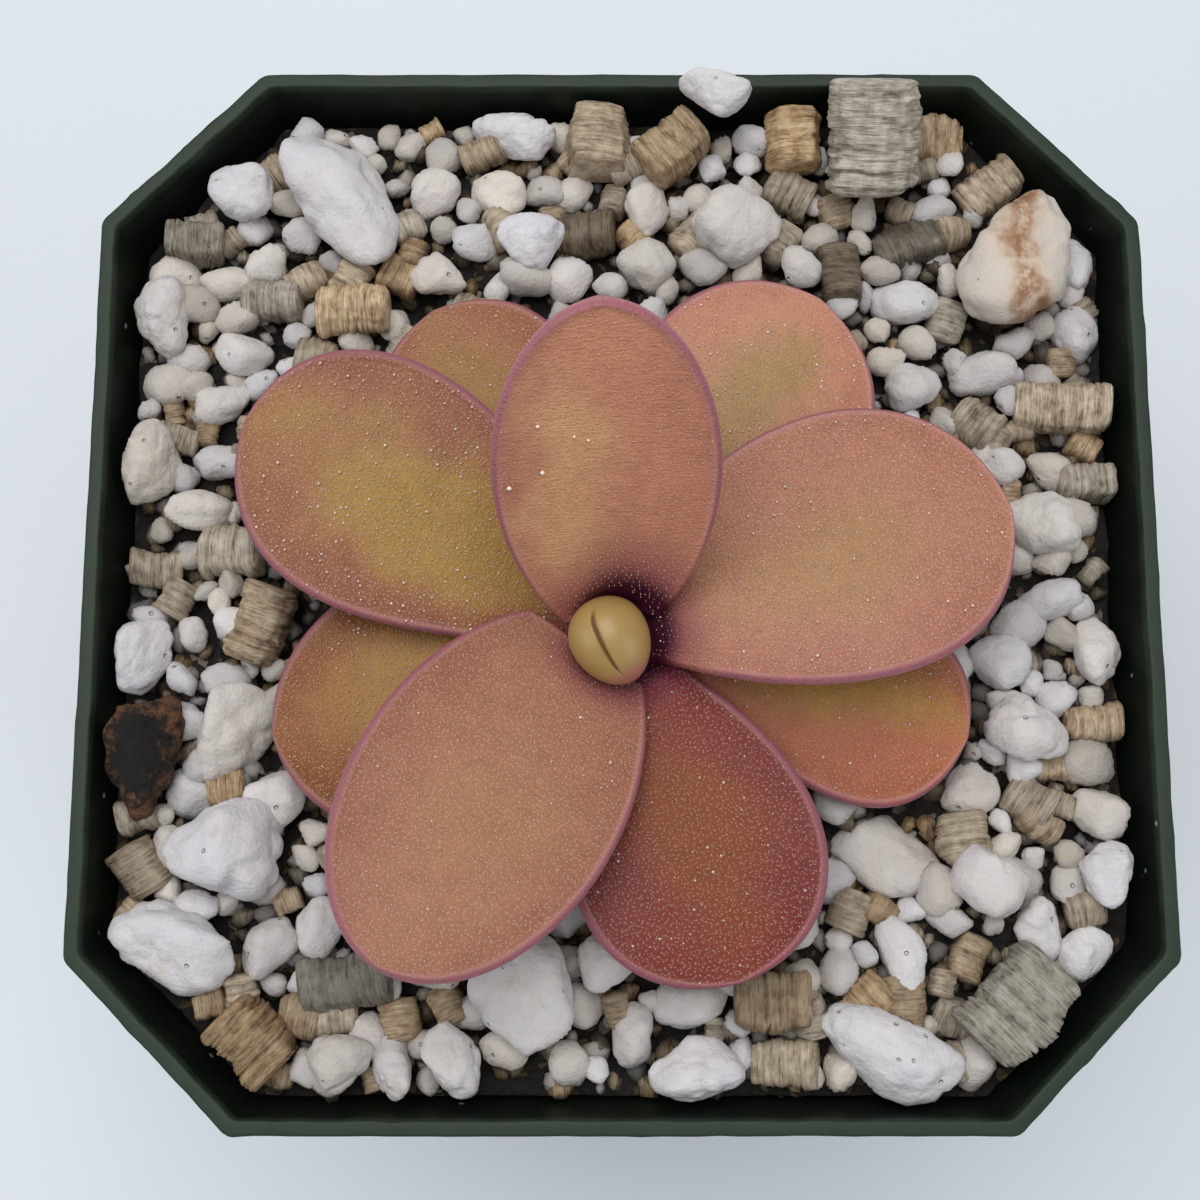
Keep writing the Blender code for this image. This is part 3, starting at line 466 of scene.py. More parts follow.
def grid_faces(rows, columns, closed=False):
    """Four-sided faces of a grid of points. A closed grid joins its last column to its first."""
    row, column = np.mgrid[:rows - 1, :columns if closed else columns - 1]
    after = (column + 1) % columns
    low, high = row * columns, (row + 1) * columns
    faces = np.stack([low + column, low + after, high + after, high + column], -1)
    return faces.reshape(-1, 4)


def spun(points, turn):
    """Points turned about the upright axis by an angle in radians."""
    x, y = points[..., 0], points[..., 1]
    return np.stack([x * np.cos(turn) - y * np.sin(turn), x * np.sin(turn) + y * np.cos(turn),
                     points[..., 2]], -1)


def piece(name, points, faces, look, marks=None, weld=0.0, nodes=()):
    """A smooth piece from points in millimetres, riding on the root body. Marks are numbers or
    vectors kept at its points for the material. Weld merges points nearer than that."""
    mesh = bpy.data.meshes.new(name)
    mesh.vertices.add(len(points))
    mesh.vertices.foreach_set("co", (points * MM).astype(np.float32).ravel())
    mesh.loops.add(faces.size)
    mesh.loops.foreach_set("vertex_index", faces.astype(np.int32).ravel())
    mesh.polygons.add(len(faces))
    starts = np.arange(0, faces.size, faces.shape[1], dtype=np.int32)
    mesh.polygons.foreach_set("loop_start", starts)
    mesh.update(calc_edges=True)
    for label, values in (marks or {}).items():
        vector = np.ndim(values) == 2
        layer = mesh.attributes.new(label, "FLOAT_VECTOR" if vector else "FLOAT", "POINT")
        values = np.asarray(values, np.float32).ravel()
        layer.data.foreach_set("vector" if vector else "value", values)
    if weld:
        shell = bmesh.new()
        shell.from_mesh(mesh)
        bmesh.ops.remove_doubles(shell, verts=shell.verts, dist=weld * MM)
        bmesh.ops.recalc_face_normals(shell, faces=shell.faces)
        shell.to_mesh(mesh)
        shell.free()
    mesh.polygons.foreach_set("use_smooth", np.ones(len(mesh.polygons), bool))
    mesh.materials.append(look)
    made = bpy.data.objects.new(name, mesh)
    bpy.context.scene.collection.objects.link(made)
    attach(made, "root")
    if nodes:
        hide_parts(*nodes)
    return made


def cut_round(made, x, y, radius, bottom, top):
    """Bores an upright hole through a piece."""
    sides = 32
    turn = np.arange(sides) * 2.0 * math.pi / sides
    ring = np.stack([x + radius * np.cos(turn), y + radius * np.sin(turn)], 1)
    points = np.concatenate([np.c_[ring, np.full(sides, level)] for level in (bottom, top)])
    mesh = bpy.data.meshes.new("bore")
    walls = [(i, (i + 1) % sides, sides + (i + 1) % sides, sides + i) for i in range(sides)]
    lids = [tuple(range(sides - 1, -1, -1)), tuple(range(sides, 2 * sides))]
    mesh.from_pydata((points * MM).tolist(), [], walls + lids)
    tool = bpy.data.objects.new("bore", mesh)
    bpy.context.scene.collection.objects.link(tool)
    bore = made.modifiers.new("bore", "BOOLEAN")
    bore.operation, bore.solver, bore.object = "DIFFERENCE", "EXACT", tool
    bpy.context.view_layer.update()
    graph = bpy.context.evaluated_depsgraph_get()
    made.data = bpy.data.meshes.new_from_object(made.evaluated_get(graph))
    made.modifiers.clear()
    bpy.data.objects.remove(tool, do_unlink=True)


# Material nodes

def put(tree, kind, inputs=None, **properties):
    """Adds a node. Each input is given a value, or the socket that feeds it."""
    made = tree.nodes.new(kind)
    for name, value in properties.items():
        setattr(made, name, value)
    for name, value in (inputs or {}).items():
        socket = made.inputs[name]
        if isinstance(value, bpy.types.NodeSocket):
            tree.links.new(value, socket)
        elif socket.type == "RGBA" and len(value) == 3:
            socket.default_value = (*value, 1.0)
        else:
            socket.default_value = value
    return made


def maths(tree, operation, *values, clamp=False):
    """One step of arithmetic on numbers or sockets."""
    inputs = dict(enumerate(values))
    return put(tree, "ShaderNodeMath", inputs, operation=operation, use_clamp=clamp).outputs[0]


def plus(tree, first, second):
    return maths(tree, "ADD", first, second)


def minus(tree, first, second):
    return maths(tree, "SUBTRACT", first, second)


def times(tree, first, second):
    return maths(tree, "MULTIPLY", first, second)


def swing(tree, value, reach):
    """A value from 0 to 1 turned into one about 0, as wide as the reach in all."""
    return times(tree, minus(tree, value, 0.5), reach)


def vector_maths(tree, operation, *values):
    return put(tree, "ShaderNodeVectorMath", dict(enumerate(values)), operation=operation).outputs


def blend(tree, share, first, second, mode="MIX"):
    """Mixes two colours."""
    made = put(tree, "ShaderNodeMix", {0: share, 6: first, 7: second}, data_type="RGBA",
               blend_type=mode)
    return made.outputs[2]


def lit(tree, colour, light):
    """A colour times a number."""
    tint = put(tree, "ShaderNodeCombineXYZ", {0: light, 1: light, 2: light}).outputs[0]
    return blend(tree, 1.0, colour, tint, "MULTIPLY")


def fade(tree, value, start, end):
    """Smooth step from 0 where the value is at start to 1 where it is at end."""
    made = put(tree, "ShaderNodeMapRange", {"Value": value, "From Min": start, "From Max": end},
               interpolation_type="SMOOTHSTEP")
    return made.outputs[0]


def cloud(tree, vector, scale, detail=2.0, roughness=0.5):
    """Noise from 0 to 1. Detail is the number of finer layers, roughness their strength."""
    made = put(tree, "ShaderNodeTexNoise", {"Vector": vector, "Scale": scale, "Detail": detail,
                                            "Roughness": roughness})
    return made.outputs["Fac"]


def cells(tree, vector, scale, **properties):
    """Distance from the middle of the nearest cell, and three random numbers for that cell."""
    made = put(tree, "ShaderNodeTexVoronoi", {"Vector": vector, "Scale": scale}, **properties)
    chances = put(tree, "ShaderNodeSeparateColor", {0: made.outputs["Color"]}).outputs
    return made.outputs["Distance"], chances


def mapped(tree, vector, **inputs):
    """The same coordinates moved by Location, turned by Rotation or stretched by Scale."""
    return put(tree, "ShaderNodeMapping", {"Vector": vector, **inputs}).outputs[0]


def axes(tree, vector):
    """The three numbers of a vector."""
    return put(tree, "ShaderNodeSeparateXYZ", {0: vector}).outputs


def mark(tree, name, output="Fac"):
    """A number or vector kept at the piece's points."""
    return put(tree, "ShaderNodeAttribute", attribute_name=name).outputs[output]


def object_place(tree):
    """Coordinates of the piece itself, in metres."""
    return put(tree, "ShaderNodeTexCoord").outputs["Object"]


def raised(tree, height, distance, strength=1.0):
    """Normals of a surface with fine relief, whose depth is in millimetres."""
    made = put(tree, "ShaderNodeBump", {"Height": height, "Distance": distance * MM,
                                        "Strength": strength})
    return made.outputs["Normal"]


def new_material(name):
    """A material, its tree and its surface shader."""
    look = bpy.data.materials.new(name)
    look.use_nodes = True
    tree = look.node_tree
    return look, tree, tree.nodes["Principled BSDF"]


def finish_material(tree, shader, colour, normal, roughness, **values):
    """Feeds the shader. Values that are the same all over are set on its own sockets."""
    tree.links.new(colour, shader.inputs["Base Color"])
    if normal is not None:
        tree.links.new(normal, shader.inputs["Normal"])
    if isinstance(roughness, bpy.types.NodeSocket):
        tree.links.new(roughness, shader.inputs["Roughness"])
    else:
        shader.inputs["Roughness"].default_value = roughness
    for name, value in values.items():
        label = name.replace("_", " ").title().replace("Ior", "IOR")
        shader.inputs[label].default_value = value


def group(name, inputs, outputs):
    """A shader node group with named sockets. Returns its tree, its inputs' sockets by name and
    a function that feeds its outputs. Inputs are name: (kind, default)."""
    tree = bpy.data.node_groups.new(name, "ShaderNodeTree")
    for label, (kind, default) in inputs.items():
        socket = tree.interface.new_socket(label, in_out="INPUT", socket_type=f"NodeSocket{kind}")
        if default is not None:
            socket.default_value = (*default, 1.0) if kind == "Color" else default
    for label, kind in outputs.items():
        tree.interface.new_socket(label, in_out="OUTPUT", socket_type=f"NodeSocket{kind}")
    entry = tree.nodes.new("NodeGroupInput")
    leave = tree.nodes.new("NodeGroupOutput")

    def feed(label, socket):
        tree.links.new(socket, leave.inputs[label])
    return tree, entry.outputs, feed


def use(tree, name, inputs):
    """Places a group, built the first time that it is asked for."""
    if name not in bpy.data.node_groups:
        GROUP_BUILDERS[name]()
    held = tree.nodes.new("ShaderNodeGroup")
    held.node_tree = bpy.data.node_groups[name]
    for label, value in inputs.items():
        socket = held.inputs[label]
        if isinstance(value, bpy.types.NodeSocket):
            tree.links.new(value, socket)
        elif socket.type == "RGBA":
            socket.default_value = (*value, 1.0)
        else:
            socket.default_value = value
    return held.outputs


def build_specks():
    """Small pale specks of dust: round spots in a few of the cells."""
    tree, given, feed = group("specks", {"Vector": ("Vector", None), "Pitch": ("Float", 2.0),
                                         "Share": ("Float", 0.3)}, {"Mask": "Float"})
    scale = maths(tree, "DIVIDE", PER_MM, given["Pitch"])
    away, chances = cells(tree, given["Vector"], scale)
    near = fade(tree, away, 0.16, 0.08)
    feed("Mask", times(tree, near, maths(tree, "LESS_THAN", chances[0], given["Share"])))


def build_stone_grain():
    """Soft mottling and fine pits of a stone: a height, and a shade that is darker in pits."""
    tree, given, feed = group("stone_grain", {"Vector": ("Vector", None), "Pits": ("Float", 0.5)},
                              {"Height": "Float", "Shade": "Float"})
    vector = given["Vector"]
    broad = cloud(tree, vector, 0.55 * PER_MM, 3.0, 0.6)
    fine = cloud(tree, vector, 3.2 * PER_MM, 3.0, 0.6)
    away, chances = cells(tree, vector, 1.3 * PER_MM)
    chosen = maths(tree, "LESS_THAN", chances[1], PITTED_SHARE)
    deep = times(tree, times(tree, fade(tree, away, 0.26, 0.10), chosen), given["Pits"])
    height = plus(tree, times(tree, broad, 0.5), times(tree, fine, 0.35))
    feed("Height", minus(tree, height, deep))
    shade = plus(tree, plus(tree, times(tree, broad, 0.30), 0.80), times(tree, fine, 0.10))
    feed("Shade", minus(tree, shade, times(tree, deep, 0.10)))


def build_laminae():
    """Thin sheets stacked along the piece's layer mark: a height and a pattern from 0 to 1."""
    tree, given, feed = group("laminae", {"Pitch": ("Float", 0.3)},
                              {"Height": "Float", "Pattern": "Float"})
    layers = mark(tree, "layers", "Vector")
    scale = maths(tree, "DIVIDE", 1.0, given["Pitch"])
    sheets = cloud(tree, mapped(tree, layers, Scale=(1.0, 0.045, 0.045)), scale, 3.0, 0.65)
    fine = cloud(tree, mapped(tree, layers, Scale=(1.0, 0.12, 0.12)), times(tree, scale, 2.6),
                 2.0, 0.6)
    crumbs = cloud(tree, layers, 1.1, 3.0, 0.6)
    both = plus(tree, times(tree, sheets, 0.6), times(tree, fine, 0.4))
    feed("Height", both)
    feed("Pattern", plus(tree, times(tree, both, 0.65), times(tree, crumbs, 0.35)))


def build_blade_colours():
    """Colour and relief of a leaf: the rose of its blade, the yellow heart, darker flanks, fine
    crosswise lines, the pale dots of the shortest glands, partly a painted glint on their drops,
    the rolled margin with a pale line in it, and the purple foot, partly painted shade, which
    starts a little to the right of the crown."""
    colours = {name: ("Color", (0.3, 0.1, 0.1))
               for name in ("Rose", "Heart", "Shade", "Margin", "Foot")}
    places = {"Patch Along": ("Float", 0.5), "Patch Across": ("Float", 0.0),
              "Patch Size": ("Float", 0.4), "Ripple": ("Float", 0.5), "Dew": ("Float", 0.4),
              "Seed": ("Float", 0.0)}
    tree, given, feed = group("blade_colours", {**colours, **places},
                              {"Color": "Color", "Height": "Float"})
    spread = mark(tree, "spread", "Vector")
    share = axes(tree, mark(tree, "share", "Vector"))
    margin = axes(tree, spread)[2]
    flat = vector_maths(tree, "MULTIPLY", spread, (1.0, 1.0, 0.0))[0]
    offset = put(tree, "ShaderNodeCombineXYZ", {2: given["Seed"]}).outputs[0]
    place = vector_maths(tree, "ADD", flat, offset)[0]
    uneven = swing(tree, cloud(tree, place, 0.16, 3.0, 0.55), 1.2)
    mottle = cloud(tree, place, 0.9, 3.0, 0.6)
    grain = cloud(tree, place, 4.5, 2.0, 0.6)

    across = minus(tree, share[0], given["Patch Across"])
    along = times(tree, minus(tree, share[1], given["Patch Along"]), 1.5)
    away = maths(tree, "SQRT", plus(tree, times(tree, across, across), times(tree, along, along)))
    away = minus(tree, plus(tree, away, uneven), given["Patch Size"])
    colour = blend(tree, fade(tree, away, 0.35, -0.3), given["Rose"], given["Heart"])
    flank = plus(tree, maths(tree, "ABSOLUTE", share[0]), uneven)
    colour = blend(tree, times(tree, fade(tree, flank, 0.35, 1.15), 0.8), colour, given["Shade"])
    lines = cloud(tree, mapped(tree, place, Scale=(0.6, 3.6, 1.0)), 1.9, 3.0, 0.6)
    light = plus(tree, times(tree, mottle, 0.40), 0.72)
    light = plus(tree, light, times(tree, grain, 0.16))
    light = plus(tree, light, times(tree, swing(tree, lines, given["Ripple"]), 0.30))
    colour = lit(tree, colour, light)

    # Pale dots of the shortest glands: partly a painted glint on their drops
    away, chances = cells(tree, place, DOTS_PER_MM, voronoi_dimensions="2D")
    dots = times(tree, fade(tree, away, 0.36, 0.12), plus(tree, chances[0], 0.35))
    pale = blend(tree, 0.70, colour, PALE_DOT_GLINT)
    colour = blend(tree, times(tree, dots, given["Dew"]), colour, pale)

    crown = vector_maths(tree, "ADD", mark(tree, "crown", "Vector"), FOOT_SHIFT)[0]
    crown = vector_maths(tree, "LENGTH", crown)["Value"]
    outside = fade(tree, crown, 4.6, 8.0)
    rolled = times(tree, fade(tree, margin, 0.48, 0.24), outside)
    colour = blend(tree, times(tree, rolled, 0.85), colour, given["Margin"])
    pale = blend(tree, 0.45, given["Margin"], PALE_MARGIN)
    line = times(tree, fade(tree, margin, 0.34, 0.46), fade(tree, margin, 0.72, 0.52))
    colour = blend(tree, times(tree, times(tree, line, outside), 0.35), colour, pale)
    rim = times(tree, fade(tree, margin, 0.10, 0.0), outside)
    colour = blend(tree, times(tree, rim, 0.40), colour, pale)
    crown = plus(tree, crown, uneven)
    colour = blend(tree, times(tree, fade(tree, crown, 6.6, 3.6), 0.55), colour, PURPLE_BLUSH)
    # Foot next to the crown: dark purple, partly painted shade
    feed("Color", blend(tree, fade(tree, crown, 4.3, 2.7), colour, given["Foot"]))
    feed("Height", plus(tree, times(tree, lines, given["Ripple"]), times(tree, dots, 0.35)))


GROUP_BUILDERS = {"specks": build_specks, "stone_grain": build_stone_grain,
                  "laminae": build_laminae, "blade_colours": build_blade_colours}


# Materials

def plastic_look(settings):
    """Moulded green plastic, scuffed pale along the lip. The inside is darker, with painted shade,
    and has specks of dust."""
    look, tree, shader = new_material("green_plastic")
    place = object_place(tree)
    height = axes(tree, place)[2]
    streaks = cloud(tree, mapped(tree, place, Scale=(1.0, 1.0, 0.25)), 0.35 * PER_MM, 4.0, 0.6)
    fine = cloud(tree, place, 4.0 * PER_MM, 3.0, 0.6)
    lip = fade(tree, height, (LIP_BOTTOM - 0.1) * MM, (LIP_BOTTOM + 0.4) * MM)
    worn = plus(tree, times(tree, fade(tree, streaks, 0.3, 0.7), 0.5), 0.5)
    inside = mark(tree, "inside")
    # The inside walls are darkened with painted shade
    colour = blend(tree, inside, tuple(settings.plastic), SHADED_INSIDE_PLASTIC)
    colour = blend(tree, times(tree, lip, worn), colour, tuple(settings.scuffed))
    scratches = times(tree, fade(tree, fine, 0.55, 0.75), 0.25)
    colour = blend(tree, scratches, colour, tuple(settings.scuffed))
    dust = use(tree, "specks", {"Vector": place, "Pitch": 1.6, "Share": 0.06})["Mask"]
    colour = blend(tree, times(tree, times(tree, dust, inside), 0.6), colour, DUST)
    rough = plus(tree, times(tree, streaks, 0.25), 0.40)
    finish_material(tree, shader, colour, raised(tree, fine, 0.05, 0.5), rough,
                    specular_ior_level=0.3)
    return look


def fines_look(settings):
    """Dark damp fines, darkened near black as painted shade of the gaps between the lumps, with
    pale and golden crumbs in them.
    """
    look, tree, shader = new_material("dark_fines")
    place = object_place(tree)
    away, chances = cells(tree, place, 1.5 * PER_MM)
    mottle = cloud(tree, place, 0.8 * PER_MM, 4.0, 0.65)
    # Fines between the lumps, darkened with painted shade
    colour = blend(tree, mottle, DARKEST_FINES_AND_SHADE, tuple(settings.fines))
    for chance, least, crumb in ((chances[0], 0.90, GOLDEN_CRUMB), (chances[1], 0.96, PALE_CRUMB)):
        chosen = times(tree, maths(tree, "GREATER_THAN", chance, least), 0.30)
        colour = blend(tree, chosen, colour, crumb)
    finish_material(tree, shader, colour, raised(tree, plus(tree, away, mottle), 0.35), 0.9)
    return look


def perlite_colour(tree, place, settings):
    """Tone and shade of perlite, with lilac in the cool lumps, and its relief."""
    cool = blend(tree, fade(tree, cloud(tree, place, 0.12 * PER_MM, 2.0), 0.35, 0.65),
                 tuple(settings.cool_perlite), LILAC_PERLITE)
    tone = maths(tree, "ADD", mark(tree, "tone"),
                 swing(tree, cloud(tree, place, 0.3 * PER_MM, 3.0), 0.5), clamp=True)
    colour = blend(tree, tone, cool, tuple(settings.warm_perlite))
    grain = use(tree, "stone_grain", {"Vector": place, "Pits": 0.8})
    shade = times(tree, grain["Shade"], mark(tree, "shade"))
    return lit(tree, colour, shade), grain["Height"]


def perlite_look(settings):
    """Dull, chalky expanded glass with tan patches."""
    look, tree, shader = new_material("chalky_perlite")
    place = object_place(tree)
    colour, height = perlite_colour(tree, place, settings)
    patches = fade(tree, cloud(tree, place, 0.45 * PER_MM, 4.0, 0.6), 0.62, 0.74)
    colour = blend(tree, times(tree, patches, 0.35), colour, TAN_PERLITE)
    finish_material(tree, shader, colour, raised(tree, height, 0.32), 0.85)
    return look


def stained_look(settings):
    """The large lump with a rusty stain that runs across its top."""
    look, tree, shader = new_material("stained_chalk")
    place = object_place(tree)
    colour, height = perlite_colour(tree, place, settings)
    _, x, y, *_ = LUMPS[STAINED]
    local = mapped(tree, place, Location=(-x * MM, -y * MM, 0.0))
    local = mapped(tree, local, Rotation=(0.0, 0.0, STAIN_HEADING))
    sideways = axes(tree, local)[0]
    wander = swing(tree, cloud(tree, place, 0.22 * PER_MM, 4.0, 0.62), 6.5 * MM)
    away = maths(tree, "ABSOLUTE", plus(tree, sideways, wander))
    broad = fade(tree, away, 3.2 * MM, 0.4 * MM)
    colour = blend(tree, times(tree, broad, 0.50), colour, PALE_STAIN)
    patch = fade(tree, cloud(tree, place, 0.6 * PER_MM, 5.0, 0.70), 0.30, 0.56)
    narrow = times(tree, fade(tree, away, 1.9 * MM, 0.3 * MM), patch)
    colour = blend(tree, times(tree, narrow, 0.95), colour, RUST_STAIN)
    finish_material(tree, shader, colour, raised(tree, height, 0.2), 0.8)
    return look


def vermiculite_look():
    """Stacks of mica sheets, from silver grey to gold, dark in the cracks between them with
    painted shade.
    """
    look, tree, shader = new_material("mica_flakes")
    sheets = use(tree, "laminae", {"Pitch": 0.30})
    tone = mark(tree, "tone")
    # The ramps run from painted shade in the cracks to the flat sheets' own colours
    grey = put(tree, "ShaderNodeValToRGB", {0: sheets["Pattern"]})
    gold = put(tree, "ShaderNodeValToRGB", {0: sheets["Pattern"]})
    for ramp, colours in ((grey, GREY_MICA), (gold, GOLD_MICA)):
        scale = ramp.color_ramp
        for _ in range(len(colours) - 2):
            scale.elements.new(0.5)
        for element, position, colour in zip(scale.elements, MICA_STOPS, colours):
            element.position, element.color = position, (*colour, 1.0)
    colour = blend(tree, tone, grey.outputs[0], gold.outputs[0])
    colour = lit(tree, colour, mark(tree, "shade"))
    rough = minus(tree, 0.75, times(tree, sheets["Pattern"], 0.4))
    finish_material(tree, shader, colour, raised(tree, sheets["Height"], 0.30), rough)
    return look


def charcoal_look():
    """Crumbly black-brown lump with rusty crumbs round its edge."""
    look, tree, shader = new_material("burnt_wood")
    place = object_place(tree)
    crumbs = cloud(tree, place, 1.1 * PER_MM, 5.0, 0.7)
    _, x, y, *_ = LUMPS[BURNT]
    local = mapped(tree, place, Location=(-x * MM, -y * MM, 0.0))
    flat = vector_maths(tree, "MULTIPLY", local, (1.3, 0.9, 0.0))[0]
    away = vector_maths(tree, "LENGTH", flat)["Value"]
    edge = plus(tree, away, swing(tree, crumbs, 6.0 * MM))
    rust = blend(tree, fade(tree, crumbs, 0.35, 0.65), DARK_RUST, RUST)
    colour = blend(tree, fade(tree, edge, 2.2 * MM, 3.9 * MM), SOOT, rust)
    finish_material(tree, shader, colour, raised(tree, crumbs, 0.8), 0.85)
    return look


def leaf_look(number, looks, settings):
    """Waxy skin of one leaf."""
    look, tree, shader = new_material(f"leaf_{number}_skin")
    along, across, size = looks["patch"]
    skin = use(tree, "blade_colours", {
        "Rose": looks["rose"], "Heart": looks["heart"], "Shade": looks["shade"],
        "Margin": tuple(settings.margin), "Foot": tuple(settings.foot), "Patch Along": along,
        "Patch Across": across, "Patch Size": size, "Ripple": looks["ripple"],
        "Dew": looks["dew"], "Seed": 17.0 * number})
    finish_material(tree, shader, skin["Color"], raised(tree, skin["Height"], 0.10), 0.42,
                    specular_ior_level=0.25)
    return look


def drop_look():
    """Slightly milky slime on the glands, the darker the drier; the pale colour of the wetter
    drops is partly a painted glint.
    """
    look, tree, shader = new_material("gland_drops")
    colour = blend(tree, mark(tree, "tone"), DRY_GLAND, WET_GLAND_GLINT)
    finish_material(tree, shader, colour, None, 0.15, coat_weight=0.4)
    return look


def heart_look(settings):
    """Smooth satin skin of the furled leaf, brown in its slit, partly painted shade, and pink at
    its tip.
    """
    look, tree, shader = new_material("heart_leaf_skin")
    place = object_place(tree)
    parts = axes(tree, mark(tree, "share", "Vector"))
    mottle = cloud(tree, place, 0.5 * PER_MM, 3.0, 0.5)
    green = blend(tree, mottle, tuple(settings.yellow), OLIVE)
    colour = blend(tree, fade(tree, parts[1], 0.80, 0.98), green, tuple(settings.blush))
    # Brown along the slit: partly painted shade in the fold
    brown = times(tree, fade(tree, parts[0], 2.4, 0.3), 0.85)
    colour = blend(tree, brown, colour, SLIT_SHADE_BROWN)
    fine = cloud(tree, place, 7.0 * PER_MM, 2.0)
    finish_material(tree, shader, colour, raised(tree, fine, 0.02, 0.4), 0.34)
    return look


def crown_look():
    """Dark purple stem."""
    look, tree, shader = new_material("crown_skin")
    mottle = cloud(tree, object_place(tree), 0.9 * PER_MM, 4.0, 0.6)
    colour = blend(tree, mottle, DARK_STEM, PURPLE_STEM)
    finish_material(tree, shader, colour, raised(tree, mottle, 0.2), 0.5)
    return look


# Pot and bed

def softened(profile, radius, steps):
    """A profile with each of its inner angles rounded: the point P between A and B becomes
    (1-s)^2 A + 2s(1-s) P + s^2 B, with A and B at the radius from it, or nearer where the
    next angle is close."""
    profile = np.array(profile, float)
    ends = np.diff(profile[:, :2], axis=0)
    length = np.linalg.norm(ends, axis=1)
    s = np.linspace(0.0, 1.0, steps + 1)[:, None]
    points = [profile[:1]]
    for i in range(1, len(profile) - 1):
        before = min(radius / length[i - 1], 0.5)
        after = min(radius / length[i], 0.5)
        a = profile[i] + (profile[i - 1] - profile[i]) * before
        b = profile[i] + (profile[i + 1] - profile[i]) * after
        points.append((1 - s) ** 2 * a + 2 * s * (1 - s) * profile[i] + s ** 2 * b)
    return np.concatenate([*points, profile[-1:]])


def octagon(profile, fillet, arc_steps, side_steps):
    """Carries a profile of (height, half width, inset) round a square with its corners cut off.

    The eight angles have the corners' points P. Each is rounded as a curve from A to B, with
    A and B a little before and after P, and the sides between are straight. What a corner
    loses at an inset is CORNER_SHARE * (half + inset) - CORNER_INSET * inset."""
    height, half, inset = profile.T
    corner = CORNER_SHARE * (half + inset) - CORNER_INSET * inset
    short = half - np.where(half > 1.0, corner, CORNER_SHARE * half)
    angles = np.stack([
        np.stack([half, -short], 1), np.stack([half, short], 1), np.stack([short, half], 1),
        np.stack([-short, half], 1), np.stack([-half, short], 1), np.stack([-half, -short], 1),
        np.stack([-short, -half], 1), np.stack([short, -half], 1)], 1)
    into = angles - np.roll(angles, 1, 1)
    into_length = np.maximum(np.linalg.norm(into, axis=-1, keepdims=True), 1e-9)
    out_length = np.roll(into_length, -1, 1)
    reach = fillet * math.tan(math.pi / 8.0)
    a = angles - into * np.minimum(reach / into_length, 0.4)
    b = angles + np.roll(into, -1, 1) * np.minimum(reach / out_length, 0.4)
    s = np.linspace(0.0, 1.0, arc_steps + 1)[:, None]
    arcs = ((1 - s) ** 2 * a[:, :, None] + 2 * s * (1 - s) * angles[:, :, None]
            + s ** 2 * b[:, :, None])
    t = np.linspace(0.0, 1.0, side_steps + 1)[1:-1, None]
    sides = b[:, :, None] * (1 - t) + np.roll(a, -1, 1)[:, :, None] * t
    flat = np.concatenate([arcs, sides], 2).reshape(len(profile), -1, 2)
    level = np.broadcast_to(height[:, None, None], (*flat.shape[:2], 1))
    return np.concatenate([flat, level], 2)


class BUTTERWORT_OT_pot(bpy.types.Operator):
    """Makes the pot: a thin octagonal shell with a rounded lip and five drain holes"""
    bl_idname = "butterwort.pot"
    bl_label = "Pot"

    def execute(self, context):
        settings = context.scene.butterwort_pot
        profile = softened(POT_PROFILE, settings.edge_radius / MM, 4)
        points = octagon(profile, settings.corner_radius / MM, 5, 40)
        flash = np.clip((points[..., 2] - LIP_BOTTOM) / 0.2, 0.0, 1.0)
        flash *= np.clip((np.abs(points[..., :2]).max(-1) - 20.0) / 2.0, 0.0, 1.0)
        outer = np.linalg.norm(points[..., :2], axis=-1, keepdims=True)
        ragged = layered_noise(points, 2.2, 5) * 0.05
        ragged += np.maximum(noise(points, 0.9, 9), 0.35) * 0.12
        points[..., :2] += points[..., :2] / np.maximum(outer, 1.0) * (flash * ragged)[..., None]
        columns = points.shape[1]
        past_lip = np.arange(len(points)) > points[:, 0, 2].argmax() + 1
        made = piece("pot_shell", points.reshape(-1, 3), grid_faces(len(points), columns, True),
                     plastic_look(settings), {"inside": np.repeat(past_lip, columns)},
                     weld=1e-3, nodes=("pot",))
        for x, y, radius in DRAIN_HOLES:
            cut_round(made, x, y, radius, 0.5, 3.5)
        return {"FINISHED"}


def fines_height(x, y):
    """Height of the dark fines: uneven, with hollows between the lumps."""
    flat = np.stack([x, y, np.zeros_like(x)], -1)
    return (FINES_TOP + 0.8 * noise(flat, 3.1, 31) + 0.4 * noise(flat, 1.3, 32)
            + 0.15 * noise(flat, 0.6, 33))


class BUTTERWORT_OT_bed(bpy.types.Operator):
    """Makes the bed of dark fines that fills the pot up to the lumps"""
    bl_idname = "butterwort.bed"
    bl_label = "Bed"

    def execute(self, context):
        settings = context.scene.butterwort_mix
        edge = BED_PROFILE[-1]
        top = [(edge[0], edge[1] * share, edge[2] * share)
               for share in np.linspace(1.0, 0.0, FINES_RINGS)[1:]]
        points = octagon(np.array(BED_PROFILE + tuple(top)), 1.0, 3, 30)
        above = points[..., 2] > FINES_TOP - 0.01
        height = fines_height(points[..., 0], points[..., 1])
        points[..., 2] = np.where(above, height, points[..., 2])
        faces = grid_faces(len(points), points.shape[1], True)
        piece("bed_of_fines", points.reshape(-1, 3), faces, fines_look(settings), weld=1e-3,
              nodes=("growing_mix",))
        return {"FINISHED"}


# Leaves

def named_leaves():
    """The leaves' numbers by their names."""
    return [dict(zip(LEAF_FIELDS, values)) for values in LEAVES]


